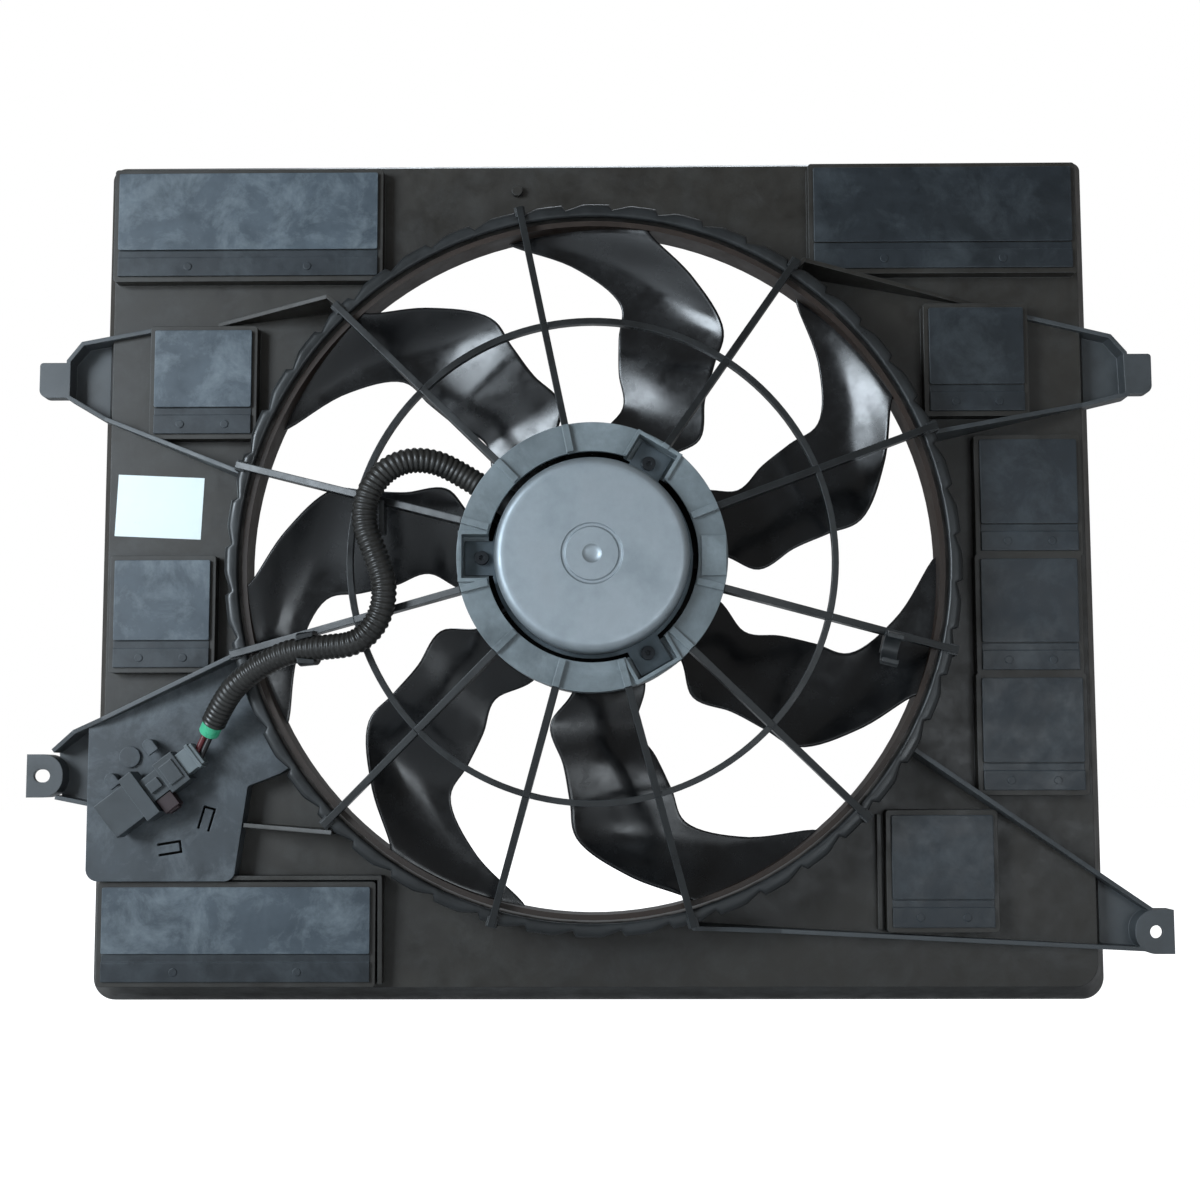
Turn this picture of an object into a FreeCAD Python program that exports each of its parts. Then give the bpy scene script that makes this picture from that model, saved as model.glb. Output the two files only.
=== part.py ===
# Radiator fan of a passenger car: shroud, banded fan, flat motor, pressure flaps and plug.
# Units are millimetres. +X is right, +Z is up, and +Y points at the radiator.
# The origin is on the fan's axis, in the plane of the shroud's rim.
import FreeCAD, Part
import math
import os
from FreeCAD import Vector

# Fits and gaps
CLEARANCE = 0.3
SHAFT_CLEARANCE = 0.04
SCREW_CLEARANCE = 0.1

# Shroud dish: rim plane at y = 0, plate towards the engine
RIM_LEFT = -293.7
RIM_RIGHT = 296.3
RIM_BOTTOM = -248.7
RIM_TOP = 252.0
DISH_DEPTH = 26.0
DISH_INSET = 10.0
DISH_WALL = 2.5
CORNER_TOP_LEFT = 8.0
CORNER_TOP_RIGHT = 5.0
CORNER_BOTTOM = 13.0

# Barrel round the fan, with its ratchet-toothed lip
BARREL_INNER = 201.0
BARREL_WALL = 3.5
BARREL_TOP = 64.0
LIP_INNER = 200.0
LIP_OUTER = 207.8
LIP_HEIGHT = 10.0
LIP_ROUNDING = 4.0
LIP_TAPER = 2.4
TOOTH_COUNT = 48
TOOTH_DEPTH = 3.4
TOOTH_FLAT = 0.6
TOOTH_START = 4.4

# Stator spokes, unevenly spaced to spread their tones, and the guard ring that ties them
SPOKE_ANGLES = (21.8, 56.1, 101.5, 134.6, 164.3, 194.2, 224.3, 254.3, 285.3, 316.9, 346.2)
SPOKE_WIDTH = 3.8
SPOKE_TOP_INNER = 96.0
SPOKE_TOP_OUTER = 68.0
SPOKE_DEPTH_INNER = 12.0
SPOKE_DEPTH_OUTER = 7.0
SPOKE_END = 209.5
SPOKE_FOOT_WIDTH = 6.0
SPOKE_FOOT_DROP = 1.0
SPOKE_OVERLAP = 3.0
SPOKE_FOOT_INSET = 4.0
GUARD_RADIUS = 134.0
GUARD_WIDTH = 3.4
GUARD_DROP = 0.27
GUARD_DEPTH = 5.0

# Motor ring (carrier) in the middle of the spokes, a gap outside the motor's can
YOKE_RADIUS = 53.0
RING_GAP = 5.0
RING_WIDTH = 16.0
RING_INNER = YOKE_RADIUS + RING_GAP
RING_OUTER = RING_INNER + RING_WIDTH
RING_TOP = 95.0
RING_PLATE = 3.0
RING_SKIRT_WALL = 2.5
RING_SKIRT_BOTTOM = 80.0
RING_RIB_HEIGHT = 2.6
RING_RIB_INSET = 0.5
POCKET_WIDTH = 24.0
POCKET_END_WALL = 3.0
POCKET_OUTER = RING_OUTER - POCKET_END_WALL
POCKET_FLOOR_TOP = 84.0
POCKET_FLOOR = 2.0
POCKET_WALL = 2.0
SCREW_BOSS_RADIUS = 4.6
SCREW_BOSS_BOTTOM = 72.0
CABLE_NOTCH_ANGLE = 146.7
CABLE_NOTCH_WIDTH = 17.0
PAD_WIDTH = 22.0
PAD_HEIGHT = 1.8
PAD_INSET = 1.5
POCKET_INSET = 1.0

# Motor
EAR_ANGLES = (59.0, 180.0, 300.0)
EAR_SCREW_INSET = 2.6
EAR_SCREW_RADIUS = RING_INNER + EAR_SCREW_INSET
EAR_WIDTH = 19.0
EAR_END_GAP = 1.0
EAR_OUTER = POCKET_OUTER - EAR_END_GAP
EAR_THICKNESS = 2.0
FLANGE_WALL = 2.4
SCREW_SHANK = 2.4
SCREW_LENGTH = 14.0
SCREW_HEAD = 3.8
SCREW_HEAD_HEIGHT = 3.2
SCREW_SOCKET = 1.6
SCREW_SOCKET_WAIST = 0.68
YOKE_WALL = 2.5
YOKE_REAR = 108.0
YOKE_FRONT = 58.0
YOKE_EDGE_RADIUS = 4.5
CAP_GROOVE_RADIUS = 15.5
CAP_GROOVE_WIDTH = 1.6
CAP_GROOVE_DEPTH = 0.9
CAP_DIMPLE_RADIUS = 5.0
CAP_DIMPLE_DEPTH = 1.2
SHAFT_RADIUS = 4.0
SHAFT_FRONT = 5.5
BEARING_RADIUS = 11.0
BEARING_WIDTH = 7.0
BEARING_SEAT_WALL = 2.4
END_PLATE = 2.0
MAGNET_COUNT = 4
MAGNET_THICKNESS = 7.0
MAGNET_SPAN = 74.0
MAGNET_REAR = 101.0
MAGNET_FRONT = 70.0
AIR_GAP = 0.9
CORE_REAR = 95.0
CORE_FRONT = 76.0
SLOT_COUNT = 16
SLOT_WIDTH = 4.2
SLOT_DEPTH = 13.0
COIL_INNER = 22.0
COIL_INSET = 2.6
COIL_END_HEIGHT = 4.5
COMMUTATOR_RADIUS = 13.0
COMMUTATOR_FRONT = 60.5
COMMUTATOR_BARS = 16
BRUSH_PLATE_Y = 66.0
BRUSH_PLATE_THICKNESS = 2.0
BRUSH_PLATE_HOLE = 25.0
BRUSH_COUNT = 4
BRUSH_WIDTH = 7.0
BRUSH_HEIGHT = 5.0
BRUSH_END = 31.0
BRUSH_HOLLOW = 2.0
BAR_SLOT_DEPTH = 1.2
BAR_SLOT_WIDTH = 0.6
SHAFT_END_GAP = 1.5
CABLE_DEPTH = 84.0
GROMMET_RADIUS = 7.6
GROMMET_REACH = 11.0
GROMMET_OVERLAP = 2.0

# Fan: hub cup, seven forward-swept blades and the band round their tips
BLADE_COUNT = 7
HUB_RADIUS = 72.0
HUB_WALL = 2.5
HUB_FACE = 14.0
HUB_WEB = 3.0
HUB_REAR = 60.0
HUB_BOSS_RADIUS = 14.0
HUB_BOSS_REAR = 49.0
HUB_RIB_REAR = 44.0
HUB_RIB_WIDTH = 2.0
HUB_EDGE_RADIUS = 5.0
BAND_INNER = 195.5
BAND_WALL = 3.0
BAND_FRONT = 38.0
BAND_REAR = 59.6
BAND_LIP = 1.2
BAND_LIP_WIDTH = 3.0
BLADE_LEADING_Y = 44.0
BLADE_TRAILING_Y = 57.8
BLADE_THICKNESS = 3.2
BLADE_EDGE_THICKNESS = 1.4
BLADE_CAMBER = 0.45
BLADE_WAVE = 2.4
BLADE_FIRST = 0.0
# Stations of a blade, evenly spaced from hub to band: trailing edge angle, leading edge angle
BLADE_STATIONS = (
    (4.0, 37.0),
    (-2.1, 28.1),
    (4.1, 30.9),
    (7.2, 32.1),
    (9.5, 32.7),
    (19.1, 41.7),
    (29.0, 53.0),
)
NUT_FLATS = 13.0
NUT_HEIGHT = 6.5

# Flaps: rubber leaves over windows in the plate, hung from strips at their lower edges
SEAT_HEIGHT = 9.0
SEAT_MARGIN = 3.0
SEAT_WALL = 2.5
FLAP_THICKNESS = 1.8
FLAP_STRIP_HEIGHT = 11.0
FLAP_WEB_HEIGHT = 4.5
FLAP_WEB_THICKNESS = 0.6
FLAP_CORNER = 2.0
WINDOW_OVERLAP = 4.0
BAR_WIDTH = 3.0
BAR_PITCH = 38.0
PEG_RADIUS = 1.6
PEG_HEAD_RADIUS = 2.3
PEG_HEAD_HEIGHT = 0.5
PEG_INSET = 0.27
# Each flap: name, left, right, bottom, top
FLAPS = (
    ("top_left", -279.5, -126.6, 174.2, 235.9),
    ("top_right", 130.0, 281.0, 176.8, 237.2),
    ("bottom_left", -279.5, -127.1, -234.5, -181.5),
    ("upper_left", -256.3, -199.6, 80.1, 141.3),
    ("middle_left", -276.8, -221.5, -56.3, 5.7),
    ("upper_right", 196.1, 250.9, 91.7, 152.6),
    ("right_high", 223.8, 279.6, 9.8, 74.5),
    ("right_middle", 222.9, 278.3, -58.9, 4.9),
    ("right_low", 222.1, 279.5, -127.5, -63.7),
    ("bottom_right", 168.9, 226.4, -204.5, -141.6),
)

# Ears: the two upper ones end in plain tabs, the two lower ones in bolt bosses
RIB_THICKNESS = 2.4
RIB_TOP_AT_BARREL = 58.0
EAR_FACE_Y = 30.0
EAR_FLOOR_Y = 17.0
EAR_FLOOR_THICKNESS = 2.5
EAR_ROOT = 24.0
TAB_HEIGHT = 8.0
TAB_PLATE = 3.0
TAB_CORNER = 5.0
TAB_CORNER_TOP = 2.0
TAB_LEFT = (-325.8, -308.0, 103.0, 123.9)
TAB_RIGHT = (311.4, 326.6, 102.6, 126.3)
# Each rib's centre line, as points (x, z)
RIB_UPPER_LEFT = (
    (-257.0, 143.6),
    (-300.8, 135.4),
    (-309.0, 125.0),
    (-309.0, 103.6),
    (-286.6, 90.3),
    (-196.0, 51.6),
)
RIB_UPPER_RIGHT = (
    (252.0, 149.3),
    (303.0, 137.0),
    (311.6, 127.0),
    (312.4, 102.4),
    (285.5, 96.0),
    (194.0, 75.0),
)
RIB_RIGHT_ARM_UPPER = ((173.0, -100.3), (316.4, -195.2))
RIB_RIGHT_ARM_LOWER = ((53.4, -196.0), (55.4, -203.0), (105.6, -206.2), (312.5, -217.4))
RIB_PLUG = ((-200.0, -49.7), (-278.9, -86.0), (-297.5, -93.2), (-312.0, -104.0))
RIB_LEFT_ARM_LOWER = ((-280.0, -136.6), (-310.0, -130.6))
RIB_PLUG_TOP = 46.0
RIB_KNEE_TOP = 40.0
BOLT_RADIUS = 3.7
BOLT_PLATE = 3.0
BOLT_RIGHT = (318.9, -207.7)
BOLT_LEFT = (-317.9, -118.3)
BOLT_SLOT = 9.3
BOSS_CORNER = 11.5
BOSS_HALF = 12.4
BOSS_EDGE = 1.0
BOSS_REACH_RIGHT = 10.1
BOSS_REACH_LEFT = 8.9

# Fins that brace the barrel: centre lines, and how far their low ends stand over the plate
FIN_TOP_LEFT = ((-221.9, 146.9), (-152.0, 155.6), (-140.0, 145.0))
FIN_TOP_RIGHT = ((222.9, 157.4), (121.5, 175.6), (112.0, 166.0))
FIN_BOTTOM_LEFT = ((-199.0, -146.4), (-146.0, -150.2))
FIN_CORNER = ((-205.0, -176.2), (-121.4, -176.2), (-121.4, -236.0))
FIN_BOTTOM_RIGHT = ((162.6, -141.0), (162.6, -206.0))
FIN_LOW = 1.0
FIN_SIDE = 5.0
FIN_FENCE = 8.0
FIN_FENCE_HIGH = 12.0
MOULDING_BOSS = (-44.8, 227.0)
MOULDING_BOSS_RADIUS = 3.2
MOULDING_BOSS_HEIGHT = 4.0

# Raised plate for the plug, with two spring tabs cut free by U-shaped slots
PLUG_PLATE_Y = 40.0
PLUG_PLATE_WALL = 2.5
PLUG_PLATE_BASE = 12.0
PLUG_PLATE_EDGE = -288.4
PLUG_PLATE_LOW = -178.0
SPRING_TAB_SLOT = 1.4
SPRING_TAB_WIDTH = 7.4
SPRING_TAB_LENGTH = 13.6
# Each spring tab: centre x and z, and how far its length turns clockwise from upright
SPRING_TABS = ((-220.0, -142.6, 16.0), (-240.6, -159.3, 81.0))

# Plug: its own line runs down and left at this angle from +X
PLUG_START = (-222.0, -105.5)
PLUG_ANGLE = 217.6
PLUG_BASE = 44.0
PLUG_WALL = 1.8
PLUG_LENGTH = 63.5
COVER_LENGTH = 11.5
COVER_WIDTH = 13.2
COVER_BASE = 46.0
COVER_TOP = 57.0
COVER_RIM = 1.0
COVER_RIM_START = 2.0
COVER_RIM_LENGTH = 2.0
BLOCK_END = 24.0
BLOCK_WIDTH = 19.2
BLOCK_TOP = 59.0
BLOCK_STEP = 1.4
BLOCK_STEP_WIDTH = 12.0
BLOCK_STEP_INSET = 2.0
NECK_END = 35.5
NECK_BASE = 45.0
NECK_TOP = 57.0
NECK_STEP = 2.5
NECK_STEP_WIDTH = 6.0
COLLAR_END = 44.0
COLLAR_WIDTH = 28.2
COLLAR_BASE = 43.0
COLLAR_TOP = 61.0
SOCKET_DEPTH = 17.0
SOCKET_HEIGHT = 16.0
SOCKET_WIDTH = 21.7
LOCK_START = 25.0
LOCK_LENGTH = 9.5
LOCK_BASE = 46.0
LOCK_TOP = 56.0
LOCK_OUTER = 16.4
LOCK_GRIP = 1.2
LOCK_GRIP_INSET = 1.5
LOCK_TONGUE_INSET = 2.0
LOCK_TONGUE_BASE = 49.0
LOCK_TONGUE_TOP = 53.0
LOCK_TRAVEL = 3.5
LOCK_ENGAGED = 2.15
LOCK_SEAT = 7.15
BLADE_PIN_WIDTH = 4.8
BLADE_PIN_THICKNESS = 0.8
BLADE_PIN_PITCH = 8.0
BLADE_PIN_ROOT = 38.0
BLADE_PIN_RECESS = 4.5
RAIL_START = 12.0
RAIL_WIDTH = 11.0
# Each latch post: how far along the plug's line, and how far across
LATCH_POSTS = ((20.6, -21.6), (49.0, -19.2))
LATCH_RADIUS = 3.2
LATCH_TOP = 51.0
LATCH_HOOK = 2.0
LATCH_HOOK_HEIGHT = 3.0
LATCH_PAD = (34.8, -24.0)
LATCH_PAD_RADIUS = 6.0
LATCH_PAD_HEIGHT = 2.0

# Conduit from the motor to the plug: the corners of its centre line after the grommet
CONDUIT_RADIUS = 7.0
CONDUIT_ROUTE = (
    (-70.8, -84.0, 46.5),
    (-88.5, -90.0, 54.6),
    (-107.5, -94.8, 52.4),
    (-121.6, -96.4, 38.5),
    (-125.4, -96.4, 19.5),
    (-118.0, -95.2, 1.5),
    (-112.2, -95.2, -16.0),
    (-115.0, -95.0, -34.0),
    (-127.2, -93.4, -47.4),
    (-146.2, -89.0, -48.9),
    (-165.0, -84.6, -50.3),
    (-181.6, -79.6, -57.2),
    (-195.6, -73.2, -66.2),
    (-206.0, -64.6, -77.0),
    (-213.2, -56.0, -88.2),
)
BEND_SHARE = 0.45
TAPE_RADIUS = 5.8
TAPE_LENGTH = 8.0
WIRE_RADIUS = 1.7
WIRE_Y = 51.5
WIRE_OVERLAP = 2.0
CLIP_WALL = 2.0
CLIP_FOOT_LOW = 7.0
CLIP_FOOT_HIGH = 3.0
CLIP_LENGTH = 9.0
CLIP_MOUTH = 0.62
CLIP_RADIUS_ON_SPOKE = 171.0
CLIP_OFFSET = 9.8
CLIP_RUN = 10
HOOK_LEFT = -116.6
HOOK_WIDTH = 2.4
HOOK_BOTTOM = 14.0
HOOK_TOP = 31.6
HOOK_NEAR = 78.0
HOOK_FAR = 92.0

# Sticker
LABEL_CENTRE = (-254.3, 38.4)
LABEL_WIDTH = 50.6
LABEL_HEIGHT = 36.4
LABEL_TURN = -2.6
LABEL_THICKNESS = 0.2

AXIS = Vector(0, 1, 0)
ORIGIN = Vector(0, 0, 0)
BARREL_OUTER = BARREL_INNER + BARREL_WALL
PLATE_Y = DISH_DEPTH
SEAT_Y = PLATE_Y + SEAT_HEIGHT
FAR = 400.0


# Small tools for the shapes

def polar(radius, degrees, depth):
    """Point at a radius and an angle from +X, a depth in front of the rim plane."""
    angle = math.radians(degrees)
    return Vector(radius * math.cos(angle), -depth, radius * math.sin(angle))


def outline(corners, depth):
    """Closed wire through corners (x, z, corner radius) at a depth."""
    count = len(corners)
    spots = [Vector(corner[0], -depth, corner[1]) for corner in corners]
    joints = []
    for index, spot in enumerate(spots):
        radius = corners[index][2]
        if radius <= 0:
            joints.append((spot, spot, None))
            continue
        back = (spots[index - 1] - spot).normalize()
        ahead = (spots[(index + 1) % count] - spot).normalize()
        half = back.getAngle(ahead) / 2
        cut = radius / math.tan(half)
        middle = (back + ahead).normalize() * (radius / math.sin(half) - radius)
        joints.append((spot + back * cut, spot + ahead * cut, spot + middle))
    edges = []
    for index, (start, end, middle) in enumerate(joints):
        if middle is not None:
            edges.append(Part.Arc(start, middle, end).toShape())
        following = joints[(index + 1) % count][0]
        if end.distanceToPoint(following) > 1e-6:
            edges.append(Part.makeLine(end, following))
    return Part.Wire(edges)


def slab(corners, near, far):
    """Plate with an outline, between two depths."""
    return Part.Face(outline(corners, near)).extrude(Vector(0, near - far, 0))


def rectangle(left, right, bottom, top, radius=0.0):
    """Corners of an upright rectangle."""
    return [(left, bottom, radius), (right, bottom, radius), (right, top, radius), (left, top, radius)]


def block(left, right, bottom, top, near, far):
    """Box between two depths."""
    return slab(rectangle(left, right, bottom, top), near, far)


def disc(radius, near, far, centre=(0.0, 0.0)):
    """Cylinder along the fan's axis direction between two depths."""
    return Part.makeCylinder(radius, far - near, Vector(centre[0], -far, centre[1]), AXIS)


def tube(outer, inner, near, far, centre=(0.0, 0.0)):
    """Ring between two depths."""
    return disc(outer, near, far, centre).cut(disc(inner, near - 1, far + 1, centre))


def turned(profile):
    """Solid turned about the fan's axis from a closed profile of (radius, depth)."""
    points = [Vector(radius, -depth, 0) for radius, depth in profile]
    face = Part.Face(Part.makePolygon(points + [points[0]]))
    return face.revolve(ORIGIN, AXIS, 360)


def radial_block(inner, outer, width, near, far, degrees):
    """Box that lies along a radius."""
    shape = block(inner, outer, -width / 2, width / 2, near, far)
    return shape.rotate(ORIGIN, AXIS, -degrees)


def wall(start, end, base, top_start, top_end, thickness=RIB_THICKNESS):
    """Upright rib from start to end (x, z), whose top edge may slope."""
    first = Vector(start[0], 0, start[1])
    last = Vector(end[0], 0, end[1])
    side = (last - first).cross(AXIS).normalize() * thickness
    first = first - side * 0.5
    last = last - side * 0.5
    corners = [
        first - AXIS * base,
        first - AXIS * top_start,
        last - AXIS * top_end,
        last - AXIS * base,
    ]
    return Part.Face(Part.makePolygon(corners + [corners[0]])).extrude(side)


def joined(shapes):
    """One solid from touching shapes."""
    shapes = list(shapes)
    return shapes[0].multiFuse(shapes[1:]).removeSplitter()


def solids_of(shapes):
    """Compound of every solid in the shapes."""
    return Part.makeCompound([solid for shape in shapes for solid in shape.Solids])


# Shroud dish

def dish_corners(inset):
    """Outline of the dish, drawn in from its rim."""
    left = RIM_LEFT + inset
    right = RIM_RIGHT - inset
    bottom = RIM_BOTTOM + inset
    top = RIM_TOP - inset
    return [
        (left, bottom, CORNER_BOTTOM),
        (right, bottom, CORNER_BOTTOM),
        (right, top, CORNER_TOP_RIGHT),
        (left, top, CORNER_TOP_LEFT),
    ]


def dish_block():
    """The dish as a filled form, which everything beside it is trimmed to."""
    rim = outline(dish_corners(0), 0)
    face = outline(dish_corners(DISH_INSET), PLATE_Y)
    return Part.makeLoft([rim, face], True, True)


def dish_hollow():
    """The space inside the dish, open at the rim."""
    slope = DISH_INSET / DISH_DEPTH
    rim = outline(dish_corners(DISH_WALL - slope), -1)
    face = outline(dish_corners(DISH_INSET + DISH_WALL - slope * DISH_WALL), PLATE_Y - DISH_WALL)
    return Part.makeLoft([rim, face], True, True)


def flap_box(flap, margin):
    """Left, right, bottom and top of a flap, grown by a margin."""
    name, left, right, bottom, top = flap
    return left - margin, right + margin, bottom - margin, top + margin


def hinge_height(flap):
    """Height of a flap's fold line."""
    return flap[3] + FLAP_STRIP_HEIGHT + FLAP_WEB_HEIGHT


def window_corners(flap):
    """Opening behind a flap's leaf."""
    name, left, right, bottom, top = flap
    low = hinge_height(flap) + WINDOW_OVERLAP
    return rectangle(left + WINDOW_OVERLAP, right - WINDOW_OVERLAP, low, top - WINDOW_OVERLAP, FLAP_CORNER)


def window_bars(flap):
    """Upright and level bars that keep a leaf from being sucked in."""
    name, left, right, bottom, top = flap
    low = hinge_height(flap) + WINDOW_OVERLAP
    high = top - WINDOW_OVERLAP
    reach = 1.0
    depths = (SEAT_Y - SEAT_WALL, SEAT_Y)
    count = max(1, round((right - left) / BAR_PITCH) - 1)
    bars = []
    for index in range(count):
        middle = left + (right - left) * (index + 1) / (count + 1)
        bars.append(block(middle - BAR_WIDTH / 2, middle + BAR_WIDTH / 2, low - reach, high + reach, *depths))
    level = (low + high) / 2
    side = WINDOW_OVERLAP - reach
    bars.append(block(left + side, right - side, level - BAR_WIDTH / 2, level + BAR_WIDTH / 2, *depths))
    return bars


def shroud_panel():
    """Thin-walled dish with raised window seats."""
    panel = dish_block()
    seats = []
    hollows = [dish_hollow(), disc(BARREL_OUTER, -1, FAR)]
    for flap in FLAPS:
        seats.append(slab(rectangle(*flap_box(flap, SEAT_MARGIN), FLAP_CORNER), PLATE_Y - DISH_WALL, SEAT_Y))
        inside = rectangle(*flap_box(flap, SEAT_MARGIN - SEAT_WALL))
        hollows.append(slab(inside, PLATE_Y - DISH_WALL - 1, SEAT_Y - SEAT_WALL))
        hollows.append(slab(window_corners(flap), PLATE_Y, SEAT_Y + 1))
    panel = panel.multiFuse(seats)
    panel = panel.cut(Part.makeCompound(hollows))
    bars = [bar for flap in FLAPS for bar in window_bars(flap)]
    return joined([panel] + bars)


# Barrel and its toothed lip

def tooth_outline(reduction, depth):
    """Ratchet outline of the lip: a flat crest, a ramp down, then a sharp step."""
    pitch = 360.0 / TOOTH_COUNT
    crest = LIP_OUTER - reduction
    points = []
    for index in range(TOOTH_COUNT):
        start = TOOTH_START + index * pitch
        points.append(polar(crest, start, depth))
        points.append(polar(crest, start + pitch * TOOTH_FLAT, depth))
        points.append(polar(crest - TOOTH_DEPTH, start + pitch, depth))
    return Part.makePolygon(points + [points[0]])


def fan_barrel():
    """Barrel wall with the toothed lip on its engine end."""
    shoulder = BARREL_TOP - LIP_ROUNDING
    base = BARREL_TOP - LIP_HEIGHT
    lower = Part.Face(tooth_outline(0, base)).extrude(Vector(0, base - shoulder, 0))
    upper = Part.makeLoft([tooth_outline(0, shoulder), tooth_outline(LIP_TAPER, BARREL_TOP)], True, True)
    barrel = joined([disc(BARREL_OUTER, PLATE_Y - DISH_WALL, shoulder), lower, upper])
    bore = turned([
        (0, 0),
        (BARREL_INNER, 0),
        (BARREL_INNER, shoulder - 1),
        (LIP_INNER, shoulder),
        (LIP_INNER, FAR),
        (0, FAR),
    ])
    return barrel.cut(bore)


# Spokes, guard ring and motor ring

def spoke_top(radius):
    """Depth of a spoke's engine edge at a radius."""
    share = (radius - RING_OUTER) / (LIP_INNER - RING_OUTER)
    return SPOKE_TOP_INNER + (SPOKE_TOP_OUTER - SPOKE_TOP_INNER) * share


def spoke(degrees):
    """One radial spoke with its foot outside the lip."""
    half = SPOKE_WIDTH / 2
    inner = RING_OUTER - SPOKE_OVERLAP
    profile = [
        Vector(inner, -spoke_top(inner), -half),
        Vector(SPOKE_END, -spoke_top(SPOKE_END), -half),
        Vector(SPOKE_END, -spoke_top(SPOKE_END) + SPOKE_DEPTH_OUTER, -half),
        Vector(inner, -spoke_top(inner) + SPOKE_DEPTH_INNER, -half),
    ]
    arm = Part.Face(Part.makePolygon(profile + [profile[0]])).extrude(Vector(0, 0, SPOKE_WIDTH))
    foot_top = spoke_top(SPOKE_END) - SPOKE_FOOT_DROP
    half_foot = SPOKE_FOOT_WIDTH / 2
    foot = block(LIP_OUTER - SPOKE_FOOT_INSET, SPOKE_END, -half_foot, half_foot, PLATE_Y, foot_top)
    return joined([arm, foot]).rotate(ORIGIN, AXIS, -degrees)


def stator_spokes(barrel):
    """All spokes, trimmed to the motor ring and to the barrel."""
    core = disc(RING_OUTER, 0, FAR)
    return solids_of([spoke(angle).cut(core).cut(barrel) for angle in SPOKE_ANGLES])


def guard_ring(spokes):
    """Ring halfway out, in one arc between each pair of spokes."""
    inner = GUARD_RADIUS - GUARD_WIDTH / 2
    outer = GUARD_RADIUS + GUARD_WIDTH / 2
    top = spoke_top(GUARD_RADIUS) - GUARD_DROP
    profile = [
        Vector(inner, -top, 0),
        Vector(outer, -top, 0),
        Vector(outer, GUARD_DEPTH - top, 0),
        Vector(inner, GUARD_DEPTH - top, 0),
    ]
    section = Part.Face(Part.makePolygon(profile + [profile[0]]))
    arcs = []
    for index, start in enumerate(SPOKE_ANGLES):
        sweep = (SPOKE_ANGLES[(index + 1) % len(SPOKE_ANGLES)] - start) % 360
        arc = section.copy().rotate(ORIGIN, AXIS, -start).revolve(ORIGIN, AXIS, -sweep)
        arcs.append(arc.cut(spokes))
    return solids_of(arcs)


def motor_ring():
    """Carrier plate with a skirt, ribs, three ear pockets and a cable notch."""
    underside = RING_TOP - RING_PLATE
    parts = [
        tube(RING_OUTER, RING_INNER, underside, RING_TOP),
        tube(RING_OUTER, RING_OUTER - RING_SKIRT_WALL, RING_SKIRT_BOTTOM, RING_TOP),
        radial_block(RING_INNER + PAD_INSET, RING_OUTER - POCKET_INSET, PAD_WIDTH, underside,
                     RING_TOP + PAD_HEIGHT, 0),
    ]
    for angle in SPOKE_ANGLES:
        parts.append(radial_block(RING_INNER + RING_RIB_INSET, RING_OUTER - CLEARANCE, SPOKE_WIDTH, underside,
                                  RING_TOP + RING_RIB_HEIGHT, angle))
    floor_bottom = POCKET_FLOOR_TOP - POCKET_FLOOR
    outside = POCKET_WIDTH + 2 * POCKET_WALL
    for angle in EAR_ANGLES:
        parts.append(radial_block(RING_INNER - POCKET_INSET, RING_OUTER - POCKET_INSET, outside, floor_bottom,
                                  RING_TOP + PAD_HEIGHT, angle))
        spot = polar(EAR_SCREW_RADIUS, angle, 0)
        parts.append(disc(SCREW_BOSS_RADIUS, SCREW_BOSS_BOTTOM, POCKET_FLOOR_TOP, (spot.x, spot.z)))
    ring = joined(parts)
    cuts = [disc(RING_INNER - POCKET_INSET, 0, FAR), disc(RING_INNER, POCKET_FLOOR_TOP, FAR)]
    for angle in EAR_ANGLES:
        cuts.append(radial_block(0, POCKET_OUTER, POCKET_WIDTH, POCKET_FLOOR_TOP, FAR, angle))
        spot = polar(EAR_SCREW_RADIUS, angle, 0)
        cuts.append(disc(SCREW_SHANK + SCREW_CLEARANCE, 0, FAR, (spot.x, spot.z)))
    cuts.append(radial_block(RING_INNER, RING_OUTER + SPOKE_OVERLAP, CABLE_NOTCH_WIDTH, 0, underside,
                             CABLE_NOTCH_ANGLE))
    return ring.cut(Part.makeCompound(cuts))


# Motor

def motor_yoke():
    """Deep-drawn steel can with its bearing pocket and the grooved cap."""
    inner = YOKE_RADIUS - YOKE_WALL
    seat = BEARING_RADIUS + BEARING_SEAT_WALL
    cap_inside = YOKE_REAR - YOKE_WALL
    can = disc(YOKE_RADIUS, YOKE_FRONT, YOKE_REAR)
    edge = [item for item in can.Edges if abs(item.CenterOfMass.y + YOKE_REAR) < 1e-3]
    can = can.makeFillet(YOKE_EDGE_RADIUS, edge)
    can = can.cut(disc(inner, YOKE_FRONT - 1, cap_inside))
    can = can.fuse(tube(seat, BEARING_RADIUS, cap_inside - BEARING_WIDTH, cap_inside + 0.5))
    groove = CAP_GROOVE_RADIUS + CAP_GROOVE_WIDTH / 2
    can = can.cut(tube(groove, groove - CAP_GROOVE_WIDTH, YOKE_REAR - CAP_GROOVE_DEPTH, FAR))
    can = can.cut(disc(CAP_DIMPLE_RADIUS, YOKE_REAR - CAP_DIMPLE_DEPTH, FAR))
    hole = polar(YOKE_RADIUS, CABLE_NOTCH_ANGLE, CABLE_DEPTH)
    inward = Vector(-hole.x, 0, -hole.z).normalize()
    return can.cut(Part.makeCylinder(CONDUIT_RADIUS / 2, 2 * YOKE_WALL, hole - inward * YOKE_WALL, inward))


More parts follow.
